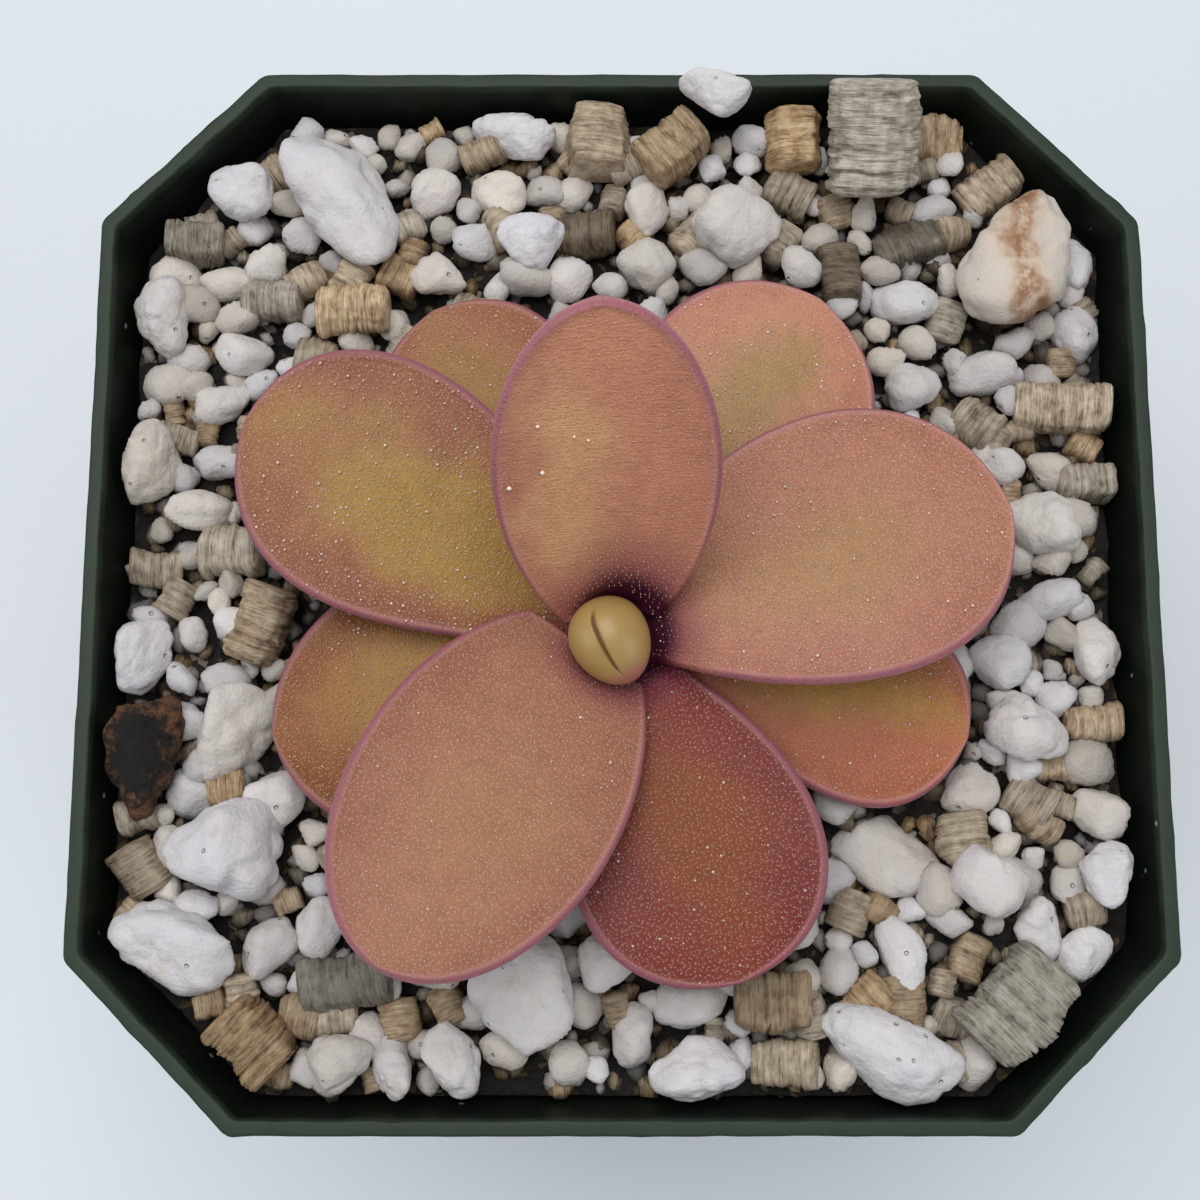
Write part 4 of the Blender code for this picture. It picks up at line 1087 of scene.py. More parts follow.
def blade_frame(leaf, share):
    """The midrib's point, forward, side and up directions at shares of the leaf's length.

    It climbs at an angle that changes evenly from foot to tip while its heading turns by the
    sweep, and its point is the sum of short steps along that direction. Side and up are
    rolled about it."""
    fine = np.linspace(0.0, 1.0, MIDRIB_STEPS)

    def tangent(part):
        turn = np.radians(leaf["azimuth"] + leaf["sweep"] * (part - SWEEP_START))
        climb = np.radians(leaf["rise_foot"] + (leaf["rise_tip"] - leaf["rise_foot"]) * part)
        return turn, np.stack([np.cos(turn) * np.cos(climb), np.sin(turn) * np.cos(climb),
                               np.sin(climb)], -1)

    _, steps = tangent(fine)
    travelled = np.zeros((len(fine), 3))
    step = leaf["length"] / (len(fine) - 1)
    travelled[1:] = np.cumsum((steps[1:] + steps[:-1]) / 2.0 * step, 0)
    heading = math.radians(leaf["azimuth"])
    foot = np.array([CROWN_X + LEAF_START * math.cos(heading) - leaf["shift"] * math.sin(heading),
                     CROWN_Y + LEAF_START * math.sin(heading) + leaf["shift"] * math.cos(heading),
                     leaf["base"]])
    midrib = foot + np.stack([np.interp(share, fine, travelled[:, i]) for i in range(3)], -1)
    turn, forward = tangent(share)
    side = np.stack([-np.sin(turn), np.cos(turn), np.zeros_like(turn)], -1)
    up = np.cross(forward, side)
    roll = math.radians(leaf["roll"])
    side = side * math.cos(roll) + up * math.sin(roll)
    return midrib, forward, side, np.cross(forward, side)


def half_width(leaf, share):
    """Half the leaf's width at shares of its length: sin t with t = acos(1 - 2 share^fullness),
    widened by the neck near the foot."""
    turn = np.arccos(np.clip(1.0 - 2.0 * share ** leaf["fullness"], -1.0, 1.0))
    return leaf["width"] / 2.0 * np.hypot(np.sin(turn), leaf["neck"] * (1.0 - share) ** NECK_POWER)


def clasp(points):
    """Pushes points out from the crown's axis so that none is nearer than LEAF_CLASP."""
    centre = np.array([CROWN_X, CROWN_Y])
    offset = points[..., :2] - centre
    distance = np.maximum(np.linalg.norm(offset, axis=-1, keepdims=True), 1e-6)
    pushed = (distance ** 4 + LEAF_CLASP ** 4) ** 0.25
    moved = points.copy()
    moved[..., :2] = centre + offset * pushed / distance
    return moved


def margin_distance(leaf, share, across):
    """Roughly how far a point is from the leaf's outline, in millimetres: its distance
    sideways times the cosine of the outline's slope, or its distance from the foot."""
    step = 1e-3
    half = half_width(leaf, share)
    ahead = half_width(leaf, np.minimum(share + step, 1.0))
    behind = half_width(leaf, np.maximum(share - step, 0.0))
    run = (np.minimum(share + step, 1.0) - np.maximum(share - step, 0.0)) * leaf["length"]
    slope = (ahead - behind) / run
    sideways = half * (1.0 - np.abs(across)) / np.hypot(1.0, slope)
    return np.minimum(sideways, share * leaf["length"])


def blade_point(leaf, share, across, face):
    """Points of a leaf's upper face (face 1) or lower face (face -1).

    The middle surface is midrib + side * half * across + up * cup * half * across^2. Each face
    lies half the leaf's thickness from it, thickest along the midrib, and closes to nothing in a
    quarter circle at the margin, which is rolled up a little."""
    midrib, _, side, up = blade_frame(leaf, share)
    half = half_width(leaf, share)
    margin = margin_distance(leaf, share, across)
    thick = MARGIN_THICKNESS + (MIDRIB_THICKNESS - MARGIN_THICKNESS) * (1.0 - across ** 2)
    near = np.clip(margin / MARGIN_ROUNDING, 0.0, 1.0)
    thick = thick * np.sqrt(1.0 - (1.0 - near) ** 2)
    rolled = 0.0
    if face > 0:
        rolled = ROLL_HEIGHT * np.exp(-((margin - ROLL_PLACE) / ROLL_WIDTH) ** 2)
    lift = leaf["cup"] * half * across ** 2 + face * thick / 2.0 + rolled * near
    return clasp(midrib + side * (half * across)[..., None] + up * lift[..., None]), margin


def build_blade(number, leaf, looks, settings):
    """Both faces of a leaf as grids whose rows and columns crowd towards the outline."""
    turn = np.linspace(0.0, math.pi, LEAF_ROWS + 1)
    share = ((1.0 - np.cos(turn)) / 2.0) ** (1.0 / leaf["fullness"])
    across = np.sin(np.linspace(-1.0, 1.0, LEAF_COLUMNS + 1) * math.pi / 2.0)
    share, across = (grid.ravel() for grid in np.meshgrid(share, across, indexing="ij"))
    upper, margin = blade_point(leaf, share, across, 1)
    lower, _ = blade_point(leaf, share, across, -1)
    flat = np.stack([upper[:, 0], upper[:, 1], np.full(len(upper), 9.0 * number)], 1)
    wavy = layered_noise(flat, WAVE_SIZE, WAVE_SEED) * WAVE_HEIGHT
    upper[:, 2] += wavy
    lower[:, 2] += wavy
    faces = grid_faces(LEAF_ROWS + 1, LEAF_COLUMNS + 1)
    faces = np.concatenate([faces, faces[:, ::-1] + len(upper)])
    spread = np.stack([half_width(leaf, share) * across, share * leaf["length"], margin], 1)
    shares = np.stack([across, share, np.zeros_like(share)], 1)
    marks = {"spread": np.concatenate([spread, spread]),
             "share": np.concatenate([shares, shares]),
             "crown": np.concatenate([upper, lower]) * (1.0, 1.0, 0.0) - (CROWN_X, CROWN_Y, 0.0)}
    piece(f"leaf_{number}_blade", np.concatenate([upper, lower]), faces,
          leaf_look(number, looks, settings), marks, weld=1e-4, nodes=(f"leaf_{number}",))


class BUTTERWORT_OT_leaves(bpy.types.Operator):
    """Makes the nine open leaves with their rolled margins"""
    bl_idname = "butterwort.leaves"
    bl_label = "Leaves"

    def execute(self, context):
        settings = context.scene.butterwort_leaf
        for number, (leaf, values) in enumerate(zip(named_leaves(), LEAF_LOOKS), 1):
            build_blade(number, leaf, dict(zip(LEAF_LOOK_FIELDS, values)), settings)
        return {"FINISHED"}


def gland_shape():
    """A gland of height 1 with its drop of radius 1 above it: a three-sided stalk and an
    eight-sided drop. Returns the stalk's corners, the drop's corners and the faces."""
    turn = np.arange(3) * 2.0 * math.pi / 3.0
    stalk = np.stack([np.cos(turn), np.sin(turn), np.zeros(3)], 1)
    drop = np.array([(0, 0, -1), (1, 0, 0), (0, 1, 0), (-1, 0, 0), (0, -1, 0), (0, 0, 1)], float)
    faces = [(0, 1, 4), (0, 4, 3), (1, 2, 5), (1, 5, 4), (2, 0, 3), (2, 3, 5)]
    faces += [(6, 6 + b, 6 + a) for a, b in ((1, 2), (2, 3), (3, 4), (4, 1))]
    faces += [(11, 6 + a, 6 + b) for a, b in ((1, 2), (2, 3), (3, 4), (4, 1))]
    return stalk, drop, np.array(faces)


def build_glands(number, leaf, looks, settings, drop_skin):
    """Stalked glands over a leaf's upper face, on staggered rows moved about at random."""
    random = np.random.default_rng(GLAND_SEED + number)
    pitch = settings.gland_pitch / MM
    x, y = np.meshgrid(np.arange(-leaf["width"] / 2.0, leaf["width"] / 2.0, pitch),
                       np.arange(0.0, leaf["length"], pitch * GLAND_ROW_SHARE))
    x = x + (np.arange(len(x)) % 2)[:, None] * pitch / 2.0
    x, y = (grid.ravel() + random.uniform(-GLAND_JITTER, GLAND_JITTER, grid.size) * pitch
            for grid in (x, y))
    if number == 1:
        drops = np.array(LARGE_DROPS)
        x, y = np.concatenate([drops[:, 0], x]), np.concatenate([drops[:, 1], y])
    share = np.clip(y / leaf["length"], 0.0, 1.0)
    across = x / np.maximum(half_width(leaf, share), 1e-3)
    keep = (np.abs(across) < 0.999) & (share > 0.0) & (share < 1.0)
    x, y, share, across = x[keep], y[keep], share[keep], across[keep]
    foot, margin = blade_point(leaf, share, across, 1)
    beside = np.hypot(foot[:, 0] - CROWN_X, foot[:, 1] - CROWN_Y)
    keep = (margin > GLAND_MARGIN) & (beside > LEAF_CLASP + GLAND_CROWN_GAP)
    foot, share, across = foot[keep], share[keep], across[keep]
    _, forward, side, up = blade_frame(leaf, share)
    count = len(foot)
    radius = settings.drop_radius / MM * random.uniform(0.75, 1.25, count)
    wet = random.uniform(0.0, 1.0, count) < looks["sparkle"] * (0.4 + np.abs(across))
    radius = np.where(wet, radius * random.uniform(1.3, 2.4, count), radius)
    tone = np.clip(random.normal(looks["dew"] - 0.14, 0.12, count), 0.05, 1.0)
    # Wet drops are paler: partly a painted glint
    tone = np.where(wet, random.uniform(0.4, 0.8, count), tone)
    if number == 1:
        radius[:len(LARGE_DROPS)] = [drop[2] for drop in LARGE_DROPS]
        # The large drops take the palest colour, a painted glint on clear slime
        tone[:len(LARGE_DROPS)] = 1.0
    tall = settings.gland_height / MM * random.uniform(0.8, 1.2, count)
    lean = random.normal(0.0, 0.12, (2, count))
    axis = up + side * lean[0][:, None] + forward * lean[1][:, None]
    axis /= np.linalg.norm(axis, axis=1, keepdims=True)
    stalk, drop, faces = gland_shape()
    ways = np.stack([side, forward, axis], 1)
    base = np.einsum("ij,njk->nik", stalk * STALK_RADIUS, ways)
    base = foot[:, None] + base - axis[:, None] * STALK_ROOT
    head = base + axis[:, None] * tall[:, None, None]
    ball = (foot + axis * tall[:, None])[:, None] + np.einsum(
        "ij,njk->nik", drop * (1.0, 1.0, DROP_HEIGHT), ways) * radius[:, None, None]
    points = np.concatenate([base, head, ball], 1)
    faces = faces[None] + (np.arange(count) * points.shape[1])[:, None, None]
    marks = {"tone": np.repeat(tone, points.shape[1])}
    piece(f"leaf_{number}_glands", points.reshape(-1, 3), faces.reshape(-1, 3), drop_skin, marks)


class BUTTERWORT_OT_glands(bpy.types.Operator):
    """Makes the sticky stalked glands on the upper face of every leaf"""
    bl_idname = "butterwort.glands"
    bl_label = "Glands"

    def execute(self, context):
        settings = context.scene.butterwort_leaf
        skin = drop_look()
        for number, (leaf, values) in enumerate(zip(named_leaves(), LEAF_LOOKS), 1):
            build_glands(number, leaf, dict(zip(LEAF_LOOK_FIELDS, values)), settings, skin)
        return {"FINISHED"}


class BUTTERWORT_OT_heart_leaf(bpy.types.Operator):
    """Makes the furled leaf in the middle of the rosette"""
    bl_idname = "butterwort.heart_leaf"
    bl_label = "Furled leaf"

    def execute(self, context):
        """Rings across an egg of radius sin a * (1 + egg * cos a). The slit takes a notch from
        each ring and bends to the left at the foot. The lobe on its right stands a
        little higher, and the one on its left curls in under it."""
        settings = context.scene.butterwort_heart
        a, part = np.meshgrid(np.linspace(0.0, math.pi, HEART_STATIONS),
                              np.arange(HEART_SIDES) / HEART_SIDES * 2.0 - 1.0, indexing="ij")
        share = np.cos(a)
        bend = 0.50 * np.clip((share - 0.35) / 0.65, 0.0, 1.0) ** 2
        away = math.pi * np.sign(part) * np.abs(part) ** 1.8
        psi = SLIT_ANGLE - bend - 0.1 * share + away
        reach = np.clip((0.95 - np.abs(share + 0.05)) / 0.35, 0.0, 1.0)
        notch = np.exp(-np.abs(away / settings.slit_width) ** 1.6)
        step = 0.05 * reach * np.tanh(-away / 0.12) * np.exp(-np.abs(away) / 0.9)
        girth = np.sin(a) * (1.0 + HEART_EGG * share)
        radius = girth * (1.0 + step - settings.slit_depth * reach * notch)
        local = np.stack([-share * HEART_HALF_LENGTH, radius * HEART_HALF_WIDTH * np.cos(psi),
                          radius * HEART_HALF_HEIGHT * np.sin(psi)], -1)
        from_slit = np.abs(away) / settings.slit_width + (1.0 - reach) * 4.0
        shares = np.stack([from_slit, (1.0 - share) / 2.0, np.zeros_like(share)], -1)
        marks = {"share": shares.reshape(-1, 3)}
        piece("heart_leaf_roll", spun(local, HEART_HEADING).reshape(-1, 3) + HEART_CENTRE,
              grid_faces(HEART_STATIONS, HEART_SIDES, True), heart_look(settings), marks,
              weld=1e-4, nodes=("heart_leaf",))
        return {"FINISHED"}


class BUTTERWORT_OT_crown(bpy.types.Operator):
    """Gives the crown its dark purple skin"""
    bl_idname = "butterwort.crown"
    bl_label = "Crown"

    def execute(self, context):
        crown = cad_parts["crown"]
        crown.data.materials.clear()
        crown.data.materials.append(crown_look())
        return {"FINISHED"}


# Mix

def ball_grid(steps):
    """Directions all round, from a square grid folded over an octahedron: u and v run from -1
    to 1, z = 1 - |u| - |v|, and where z is below zero the corner is folded under."""
    u, v = np.meshgrid(np.linspace(-1.0, 1.0, steps + 1), np.linspace(-1.0, 1.0, steps + 1))
    z = 1.0 - np.abs(u) - np.abs(v)
    x = np.where(z < 0, (1.0 - np.abs(v)) * np.where(u < 0, -1.0, 1.0), u)
    y = np.where(z < 0, (1.0 - np.abs(u)) * np.where(v < 0, -1.0, 1.0), v)
    points = np.stack([x, y, z], -1).reshape(-1, 3)
    return (points / np.linalg.norm(points, axis=1, keepdims=True),
            grid_faces(steps + 1, steps + 1))


def stone_form(directions, seed):
    """A lump as wide as 2 each way: rounded off from a few planes at random distances.

    The reach in a direction is (sum of (d . n / h)^p)^(-1/p) over the planes that face it,
    with n the planes' directions, h their distances and p the sharpness of the edges. The sum
    is kept above LEAST_FACING, so that no side without a plane of its own sticks out."""
    random = np.random.default_rng(seed)
    planes = random.normal(size=(STONE_PLANES, 3))
    planes /= np.linalg.norm(planes, axis=1, keepdims=True)
    depth = random.uniform(*STONE_DEPTHS, STONE_PLANES)
    facing = np.maximum(directions @ planes.T, 0.0) / depth
    reach = np.maximum((facing ** STONE_SHARPNESS).sum(1), LEAST_FACING)
    points = directions * (reach ** (-1.0 / STONE_SHARPNESS))[:, None]
    low, high = points.min(0), points.max(0)
    return (points - (low + high) / 2.0) / ((high - low) / 2.0)


def weathered(points, directions, size, seed):
    """A stone's points in millimetres, worn: soft swellings with creases between them, and
    grain."""
    swell = 0.6 * noise(points, 0.55 * size, seed) + np.abs(noise(points, 0.34 * size, seed + 2))
    grain = layered_noise(points, 0.20 * size, seed + 5, 3)
    depth = size * (0.066 * (swell - 0.35) + 0.024 * grain)
    return points + directions * depth[:, None]


def crumbled(points, directions, size, seed):
    """Charcoal's points: broken by strong noise of several sizes."""
    depth = 0.10 * size * layered_noise(points, 0.35 * size, seed, 5)
    return points + directions * depth[:, None]


def sheet_stack(half, seed, stations, sides):
    """A stack of thin sheets along X, of half sizes in millimetres.

    Each ring round it has the same uneven outline, a squarish circle. The sheets differ in
    thickness, and each is moved and widened at random. Their borders wander with smooth noise,
    and some of them open into grooves. Near both ends the rings shrink by (1 - x^8)^(1/8)."""
    random = np.random.default_rng(seed)
    x = np.sin(np.linspace(-1.0, 1.0, stations) * math.pi / 2.0) * 0.35
    x += np.linspace(-1.0, 1.0, stations) * 0.65
    turn = np.arange(sides) * 2.0 * math.pi / sides
    outline = 1.0 / np.maximum(np.abs(np.cos(turn)), np.abs(np.sin(turn))) ** 0.55
    ring = np.stack([np.cos(turn), np.sin(turn), np.zeros(sides)], 1)
    outline = outline * (1.0 + 0.16 * noise(ring, 0.8, seed))
    count = max(int(2.0 * half[0] / SHEET_THICKNESS), 5)
    borders = np.cumsum(random.uniform(0.4, 1.8, count))
    borders = borders / borders[-1] * 2.0 - 1.0
    place = np.concatenate([np.broadcast_to(x[:, None, None], (stations, sides, 1)),
                            np.broadcast_to(ring[None, :, :2], (stations, sides, 2))], -1)
    warped = x[:, None] + 0.10 * noise(place, 0.8, seed + 7) + 0.04 * noise(place, 0.3, seed + 8)
    which = np.clip(np.searchsorted(borders, warped), 0, count - 1)
    width = random.uniform(0.95, 1.02, count)[which]
    shift = random.uniform(-0.03, 0.03, (count, 2))[which]
    open_by = (random.uniform(0.0, 1.0, count) ** 3 * 0.20)[which]
    away = (borders[which] - warped) * half[0]
    groove = 1.0 - open_by * np.exp(-(away / 0.10) ** 2)
    close = ((1.0 - np.abs(x) ** 8) ** 0.125)[:, None]
    radius = width * groove * close * outline
    points = np.stack([np.broadcast_to(x[:, None], radius.shape),
                       radius * np.cos(turn) + shift[..., 0] * close,
                       radius * np.sin(turn) + shift[..., 1] * close], -1)
    points = points.reshape(-1, 3)
    low, high = points.min(0), points.max(0)
    points = (points - (low + high) / 2.0) / ((high - low) / 2.0) * half
    outward = points * (0.0, 1.0, 1.0)
    outward /= np.maximum(np.linalg.norm(outward, axis=1, keepdims=True), 0.2)
    flakes = layered_noise(points * (2.6, 0.8, 0.8), 1.1, seed + 3, 3)
    swell = noise(points, 2.4, seed + 5)
    points = points + outward * (0.10 * flakes + 0.30 * swell)[:, None]
    bow = 0.10 * half[0] * (points[:, 0] / half[0]) ** 2 * (1 if seed % 2 else -1)
    points[:, 1] += bow
    return points, grid_faces(stations, sides, True)


def turned(points, heading, slope, tilt):
    """Rolls points about X by tilt, lifts +X by slope, then turns them to their heading."""
    a, b, c = math.radians(heading), math.radians(slope), math.radians(tilt)
    roll = np.array([[1, 0, 0], [0, math.cos(c), -math.sin(c)], [0, math.sin(c), math.cos(c)]])
    lift = np.array([[math.cos(b), 0, -math.sin(b)], [0, 1, 0], [math.sin(b), 0, math.cos(b)]])
    yaw = np.array([[math.cos(a), -math.sin(a), 0], [math.sin(a), math.cos(a), 0], [0, 0, 1]])
    return points @ (yaw @ lift @ roll).T


def leaf_roof():
    """Points spread over the middle surfaces of all the leaves, for lumps to stay under."""
    made = []
    for leaf in named_leaves():
        turn = np.linspace(0.0, math.radians(171.0), 25)
        share = ((1.0 - np.cos(turn)) / 2.0) ** (1.0 / leaf["fullness"])
        across = np.sin(np.linspace(-1.0, 1.0, 17) * math.pi / 2.0)
        share, across = np.meshgrid(share, across, indexing="ij")
        midrib, _, side, up = blade_frame(leaf, share)
        half = half_width(leaf, share)
        made.append(clasp(midrib + side * (half * across)[..., None]
                          + up * (leaf["cup"] * half * across ** 2)[..., None]).reshape(-1, 3))
    return np.concatenate(made)


def ceiling(x, y, reach, roof):
    """The height that a lump at x, y may reach without touching a leaf above it."""
    near = np.hypot(roof[:, 0] - x, roof[:, 1] - y) < reach + 0.6
    if not near.any():
        return math.inf
    return roof[near, 2].min() - LEAF_CLEARANCE


def lump_half(length, width):
    """Half sizes of a lump, whose height follows from its width."""
    return np.array([length, width, max(LUMP_FLATNESS * width, LUMP_HEIGHT)]) / 2.0


def lump_shape(kind, half, seed, steps):
    """Points and faces of a lump about its own middle, with its layers' coordinates."""
    if kind == "vermiculite":
        points, faces = sheet_stack(half, seed, steps + steps // 3, steps)
        return points, faces, points
    directions, faces = ball_grid(steps)
    points = stone_form(directions, seed) * half
    size = 2.0 * float(half.min())
    if kind == "charcoal":
        points = crumbled(points, directions, size, seed)
    else:
        points = weathered(points, directions, size, seed)
    return points, faces, points


def laid(kind, lean, x, y, half, heading, top, seed, steps, tone, shade):
    """Points, faces and marks of a lump turned to its heading, tipped by its lean and moved
    so that its highest point is at top."""
    points, faces, layers = lump_shape(kind, half, seed, steps)
    points = turned(points, heading, *lean) + (x, y, 0.0)
    points[:, 2] += top - points[:, 2].max()
    marks = {"tone": np.full(len(points), tone), "shade": np.full(len(points), shade),
             "layers": layers + (0.0, 9.0 * seed, 0.0)}
    return points, faces, marks


def placed_lump(number, roof):
    """Points, faces and marks of one of the LUMPS, where it lies in the model."""
    kind, x, y, length, width, heading, tone, shade = LUMPS[number]
    random = np.random.default_rng(LUMP_SEED + number)
    slope, tilt = random.uniform(-LUMP_LEAN, LUMP_LEAN, 2)
    top = BED_TOP + LUMP_RISE[0] + LUMP_RISE[1] * width
    if number in LEANING:
        slope, top = LEANING[number]
    else:
        top = min(top, ceiling(x, y, length / 2.0, roof))
    return laid(kind, (slope, tilt), x, y, lump_half(length, width), heading, top, number,
                LUMP_STEPS, tone, shade)


class BUTTERWORT_OT_lumps(bpy.types.Operator):
    """Makes the larger lumps of perlite, vermiculite and charcoal"""
    bl_idname = "butterwort.lumps"
    bl_label = "Large lumps"

    def execute(self, context):
        settings = context.scene.butterwort_mix
        looks = shared_looks(settings)
        roof = leaf_roof()
        counts = dict.fromkeys(looks, 0)
        for number, (kind, *_) in enumerate(LUMPS):
            counts[kind] += 1
            points, faces, marks = placed_lump(number, roof)
            piece(f"{kind}_lump_{counts[kind]:02d}", points, faces, looks[kind], marks,
                  weld=1e-4, nodes=(f"{kind}_{counts[kind]:02d}",))
        return {"FINISHED"}


def shared_looks(settings):
    """The materials of the mix, made the first time that they are asked for."""
    builders = {"perlite": ("chalky_perlite", lambda: perlite_look(settings)),
                "stained_perlite": ("stained_chalk", lambda: stained_look(settings)),
                "vermiculite": ("mica_flakes", vermiculite_look),
                "charcoal": ("burnt_wood", charcoal_look)}
    return {kind: bpy.data.materials.get(name) or build()
            for kind, (name, build) in builders.items()}


def inside_pot(x, y, radius):
    """Whether a grain lies clear of the pot's walls and cut corners."""
    return (max(abs(x), abs(y)) + radius < GRAIN_WALL
            and abs(x) + abs(y) + CORNER_REACH * radius < GRAIN_CORNER)


def under_lump(x, y, share):
    """Whether a place is within this share of the outline of one of the LUMPS."""
    for _, sx, sy, length, width, heading, *_ in LUMPS:
        turn = math.radians(heading)
        along = (x - sx) * math.cos(turn) + (y - sy) * math.sin(turn)
        aside = (y - sy) * math.cos(turn) - (x - sx) * math.sin(turn)
        if math.hypot(along / length, aside / width) < share / 2.0:
            return True
    return False


def filling_grains(roof):
    """Places of the filling grains: staggered rows, each place moved about at random. Places
    under large lumps, near small ones and in the crown's hole are left out, and half of those
    under the leaves."""
    random = np.random.default_rng(GRAIN_SEED)
    grains = []
    count = int(2 * GRAIN_WALL / GRAIN_PITCH) + 2
    for row, column in itertools.product(range(count), repeat=2):
        x = -GRAIN_WALL + (column + 0.5 * (row % 2)) * GRAIN_PITCH
        y = -GRAIN_WALL + row * GRAIN_PITCH * GRAIN_ROW_SHARE
        dx, dy = random.uniform(-GRAIN_JITTER, GRAIN_JITTER, 2)
        radius = random.uniform(*GRAIN_RADII)
        squash, heading = random.uniform(*GRAIN_SQUASH), random.uniform(0.0, 360.0)
        rise = random.uniform(*GRAIN_RISE)
        x, y = x + dx, y + dy
        if not inside_pot(x, y, radius):
            continue
        if math.hypot(x - CROWN_X, y - CROWN_Y) < CROWN_HOLE_RADIUS + radius + 0.4:
            continue
        if any(math.hypot(x - sx, y - sy) < SMALL_LUMP_SHARE * (length + width)
               for sx, sy, length, width, _ in SMALL_LUMPS):
            continue
        if under_lump(x, y, 0.85):
            continue
        limit = ceiling(x, y, radius, roof)
        if limit < math.inf and (row + column) % 2:
            continue
        grains.append((x, y, limit, radius, squash, heading, rise))
    return grains


def gap_grains(grains, roof):
    """Places of more grains where the others leave dark gaps, in the open part of the bed."""
    random = np.random.default_rng(GAP_SEED)
    held = [(x, y, radius) for x, y, _, radius, *_ in grains]
    held += [(x, y, (length + width) / 4.0) for x, y, length, width, _ in SMALL_LUMPS]
    added = []
    for x, y, chance in random.uniform(-1.0, 1.0, (GAP_TRIES, 3)):
        x, y = x * GRAIN_WALL, y * GRAIN_WALL
        radius = GAP_RADIUS + GAP_RADIUS_SPREAD * chance
        if (not inside_pot(x, y, radius) or under_lump(x, y, 0.95)
                or ceiling(x, y, radius, roof) < math.inf):
            continue
        if any(math.hypot(x - hx, y - hy) < GAP_SPACING * (radius + other)
               for hx, hy, other in held):
            continue
        held.append((x, y, radius))
        added.append((x, y, math.inf, radius, random.uniform(*GRAIN_SQUASH),
                      random.uniform(0.0, 360.0), random.uniform(*GAP_RISE)))
    return added


def gathered(parts):
    """Joins the points, faces and marks of many lumps."""
    sizes = np.cumsum([0] + [len(points) for points, _, _ in parts])
    points = np.concatenate([points for points, _, _ in parts])
    faces = np.concatenate([faces + start for (_, faces, _), start in zip(parts, sizes)])
    marks = {name: np.concatenate([marks[name] for _, _, marks in parts]) for name in parts[0][2]}
    return points, faces, marks


class BUTTERWORT_OT_small_lumps(bpy.types.Operator):
    """Makes the smaller lumps and the grains that fill the gaps between the large ones"""
    bl_idname = "butterwort.small_lumps"
    bl_label = "Small lumps"

    def execute(self, context):
        settings = context.scene.butterwort_mix
        looks = shared_looks(settings)
        roof = leaf_roof()
        random = np.random.default_rng(SMALL_RANDOM_SEED)
        parts = {"perlite": [], "vermiculite": []}

        def add(kind, *given):
            lean = random.uniform(-SMALL_LEAN, SMALL_LEAN, 2)
            parts[kind].append(laid(kind, lean, *given))

        for number, (x, y, length, width, heading) in enumerate(SMALL_LUMPS):
            kind = "vermiculite" if number in FLAKY_SMALL + DARK_SMALL else "perlite"
            shade = 0.35 if number in DARK_SMALL else random.uniform(0.85, 1.1)
            top = BED_TOP + SMALL_RISE[0] + SMALL_RISE[1] * width
            top = min(top, ceiling(x, y, length / 2.0, roof))
            add(kind, x, y, lump_half(length, width), heading, top, SMALL_SEED + number,
                SMALL_STEPS, random.uniform(0.1, 0.8), shade)
        grains = filling_grains(roof)
        grains += gap_grains(grains, roof)
        for number, (x, y, limit, radius, squash, heading, rise) in enumerate(grains):
            kind = "perlite" if random.uniform() < PERLITE_SHARE else "vermiculite"
            top = min(BED_TOP + radius * rise, limit)
            half = radius * np.array([1.0, squash, GRAIN_HEIGHT])
            add(kind, x, y, half, heading, top, STONE_SEED + number, GRAIN_STEPS,
                random.uniform(0.1, 0.9), random.uniform(0.7, 1.05))
        for kind, held in parts.items():
            points, faces, marks = gathered(held)
            piece(f"small_{kind}", points, faces, looks[kind], marks, weld=1e-4,
                  nodes=("growing_mix",))
        return {"FINISHED"}


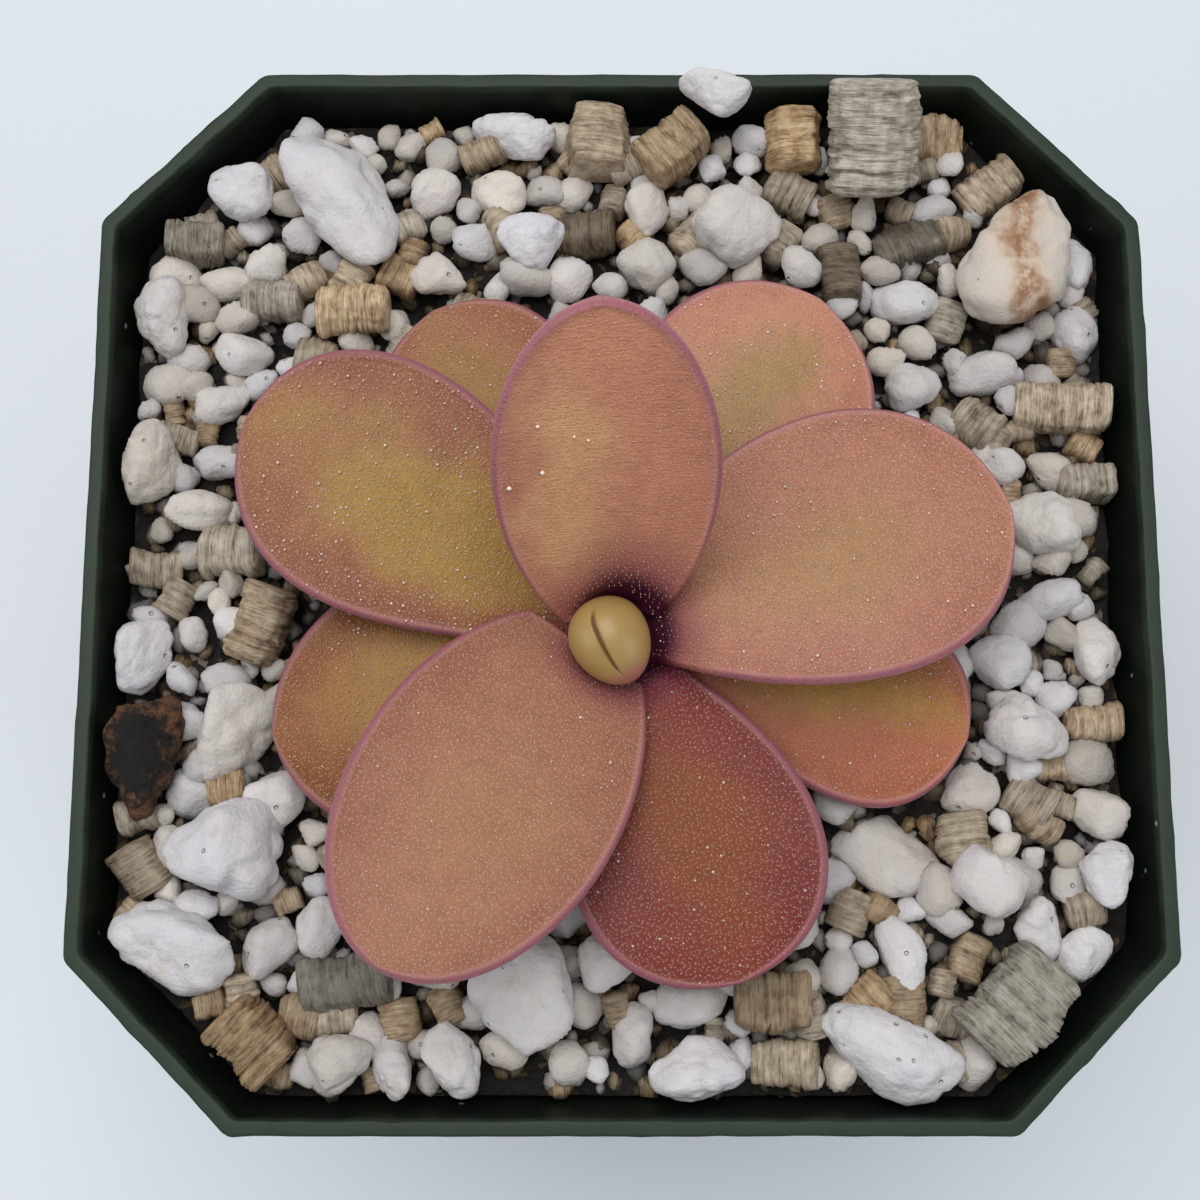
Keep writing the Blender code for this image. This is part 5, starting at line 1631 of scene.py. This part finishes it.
class BUTTERWORT_OT_grit(bpy.types.Operator):
    """Makes the fine grit that lies on the bed between the lumps"""
    bl_idname = "butterwort.grit"
    bl_label = "Grit"

    def execute(self, context):
        """Low stones of 16 four-sided faces, on a square grid of places moved about at
        random."""
        settings = context.scene.butterwort_mix
        looks = shared_looks(settings)
        random = np.random.default_rng(GRIT_SEED)
        pitch = settings.grit_pitch / MM
        steps = np.arange(-GRAIN_WALL, GRAIN_WALL, pitch)
        x, y = (grid.ravel() for grid in np.meshgrid(steps, steps))
        x = x + random.uniform(-0.5, 0.5, x.size) * pitch
        y = y + random.uniform(-0.5, 0.5, y.size) * pitch
        keep = (np.maximum(np.abs(x), np.abs(y)) < GRAIN_WALL - 0.3)
        keep &= np.abs(x) + np.abs(y) < GRAIN_CORNER - 1.0
        keep &= np.hypot(x - CROWN_X, y - CROWN_Y) > CROWN_HOLE_RADIUS + 1.0
        x, y = x[keep], y[keep]
        radius = random.uniform(*GRIT_RADII, x.size)
        directions, faces = ball_grid(GRIT_FOLDS)
        lumpy = 1.0 + random.uniform(-0.25, 0.25, (x.size, len(directions), 1))
        spin = random.uniform(0.0, 2.0 * math.pi, x.size)
        grains = directions[None] * lumpy * (1.0, 0.75, 0.7)
        grains = spun(grains, spin[:, None])
        centre = np.stack([x, y, fines_height(x, y) + radius * GRIT_SINK], 1)
        points = grains * radius[:, None, None] + centre[:, None]
        tone = random.uniform(0.2, 1.0, x.size)
        shade = random.uniform(0.15, 0.8, x.size)
        golden = random.uniform(0.0, 1.0, x.size) < GOLDEN_GRIT_SHARE
        for kind, chosen in (("perlite", ~golden), ("vermiculite", golden)):
            count = int(chosen.sum())
            each = len(directions)
            held = points[chosen].reshape(-1, 3)
            joined = (faces[None] + (np.arange(count) * each)[:, None, None]).reshape(-1, 4)
            marks = {"tone": np.repeat(tone[chosen], each),
                     "shade": np.repeat(shade[chosen], each), "layers": held}
            piece(f"grit_of_{kind}", held, joined, looks[kind], marks, weld=1e-4,
                  nodes=("growing_mix",))
        return {"FINISHED"}


# Stage

def lamp(name, place, aim, size, power, colour):
    """A square soft lamp that shines from a place towards a point, in metres."""
    data = bpy.data.lights.new(name, "AREA")
    data.shape, data.size, data.energy, data.color = "SQUARE", size, power, colour
    made = bpy.data.objects.new(name, data)
    direction = np.array(aim, float) - place
    made.location = place
    flat = math.hypot(direction[0], direction[1])
    made.rotation_euler = (math.atan2(flat, -direction[2]), 0.0,
                           math.atan2(direction[0], -direction[1]) + math.pi)
    bpy.context.scene.collection.objects.link(made)
    return made


class BUTTERWORT_OT_stage(bpy.types.Operator):
    """Makes the pale floor, the soft lamps, the sky and the camera"""
    bl_idname = "butterwort.stage"
    bl_label = "Stage"

    def execute(self, context):
        scene = context.scene
        settings = scene.butterwort_stage
        look, tree, shader = new_material("pale_floor")
        place = object_place(tree)
        faint = cloud(tree, place, 30.0, 2.0)
        colour = blend(tree, times(tree, faint, 0.12), tuple(settings.floor), FLOOR_CLOUDS)
        finish_material(tree, shader, colour, None, 0.7)
        mesh = bpy.data.meshes.new("floor")
        wide = 1.5
        mesh.from_pydata([(-wide, -wide, 0), (wide, -wide, 0), (wide, wide, 0), (-wide, wide, 0)],
                         [], [(0, 1, 2, 3)])
        mesh.materials.append(look)
        floor = bpy.data.objects.new("floor", mesh)
        scene.collection.objects.link(floor)

        for name, lamp_place, size, power, tint in LAMPS:
            lamp(name, lamp_place, LAMP_AIM, size, getattr(settings, power), tint)
        world = bpy.data.worlds.new("sky")
        world.use_nodes = True
        light = world.node_tree.nodes["Background"]
        light.inputs["Color"].default_value = (*SKY_COLOUR, 1.0)
        light.inputs["Strength"].default_value = settings.sky
        scene.world = world

        data = bpy.data.cameras.new("camera")
        data.lens, data.sensor_width = settings.lens, 36.0
        data.clip_start, data.clip_end = 0.005, 10.0
        camera = bpy.data.objects.new("camera", data)
        camera.location = settings.camera_place
        camera.rotation_euler = (settings.camera_tilt, 0.0, 0.0)
        scene.collection.objects.link(camera)
        scene.camera = camera
        scene.view_settings.view_transform = "Standard"
        return {"FINISHED"}


class BUTTERWORT_PT_panel(bpy.types.Panel):
    """Lists the pieces of the butterwort and their settings"""
    bl_label = "Butterwort"
    bl_idname = "BUTTERWORT_PT_panel"
    bl_space_type = "VIEW_3D"
    bl_region_type = "UI"
    bl_category = "Butterwort"

    def draw(self, context):
        for name, operators in PANEL_ROWS:
            box = self.layout.box()
            settings = getattr(context.scene, name)
            for field in settings.__annotations__:
                box.prop(settings, field)
            for operator in operators:
                box.operator(operator.bl_idname, text=operator.bl_label)


SETTINGS = {"butterwort_pot": PotSettings, "butterwort_mix": MixSettings,
            "butterwort_leaf": LeafSettings, "butterwort_heart": HeartSettings,
            "butterwort_stage": StageSettings}
PANEL_ROWS = (
    ("butterwort_stage", (BUTTERWORT_OT_stage,)),
    ("butterwort_pot", (BUTTERWORT_OT_pot,)),
    ("butterwort_mix", (BUTTERWORT_OT_bed, BUTTERWORT_OT_lumps, BUTTERWORT_OT_small_lumps,
                        BUTTERWORT_OT_grit)),
    ("butterwort_leaf", (BUTTERWORT_OT_crown, BUTTERWORT_OT_leaves, BUTTERWORT_OT_glands)),
    ("butterwort_heart", (BUTTERWORT_OT_heart_leaf,)),
)
OPERATORS = [operator for _, operators in PANEL_ROWS for operator in operators]


def register():
    for made in (*SETTINGS.values(), *OPERATORS, BUTTERWORT_PT_panel):
        bpy.utils.register_class(made)
    for name, settings in SETTINGS.items():
        setattr(bpy.types.Scene, name, PointerProperty(type=settings))


def unregister():
    for name in SETTINGS:
        delattr(bpy.types.Scene, name)
    for made in (BUTTERWORT_PT_panel, *reversed(OPERATORS), *SETTINGS.values()):
        bpy.utils.unregister_class(made)


def main():
    """Makes every piece in turn."""
    register()
    for operator in OPERATORS:
        _, name = operator.bl_idname.split(".")
        getattr(bpy.ops.butterwort, name)()


if __name__ == "__main__":
    main()
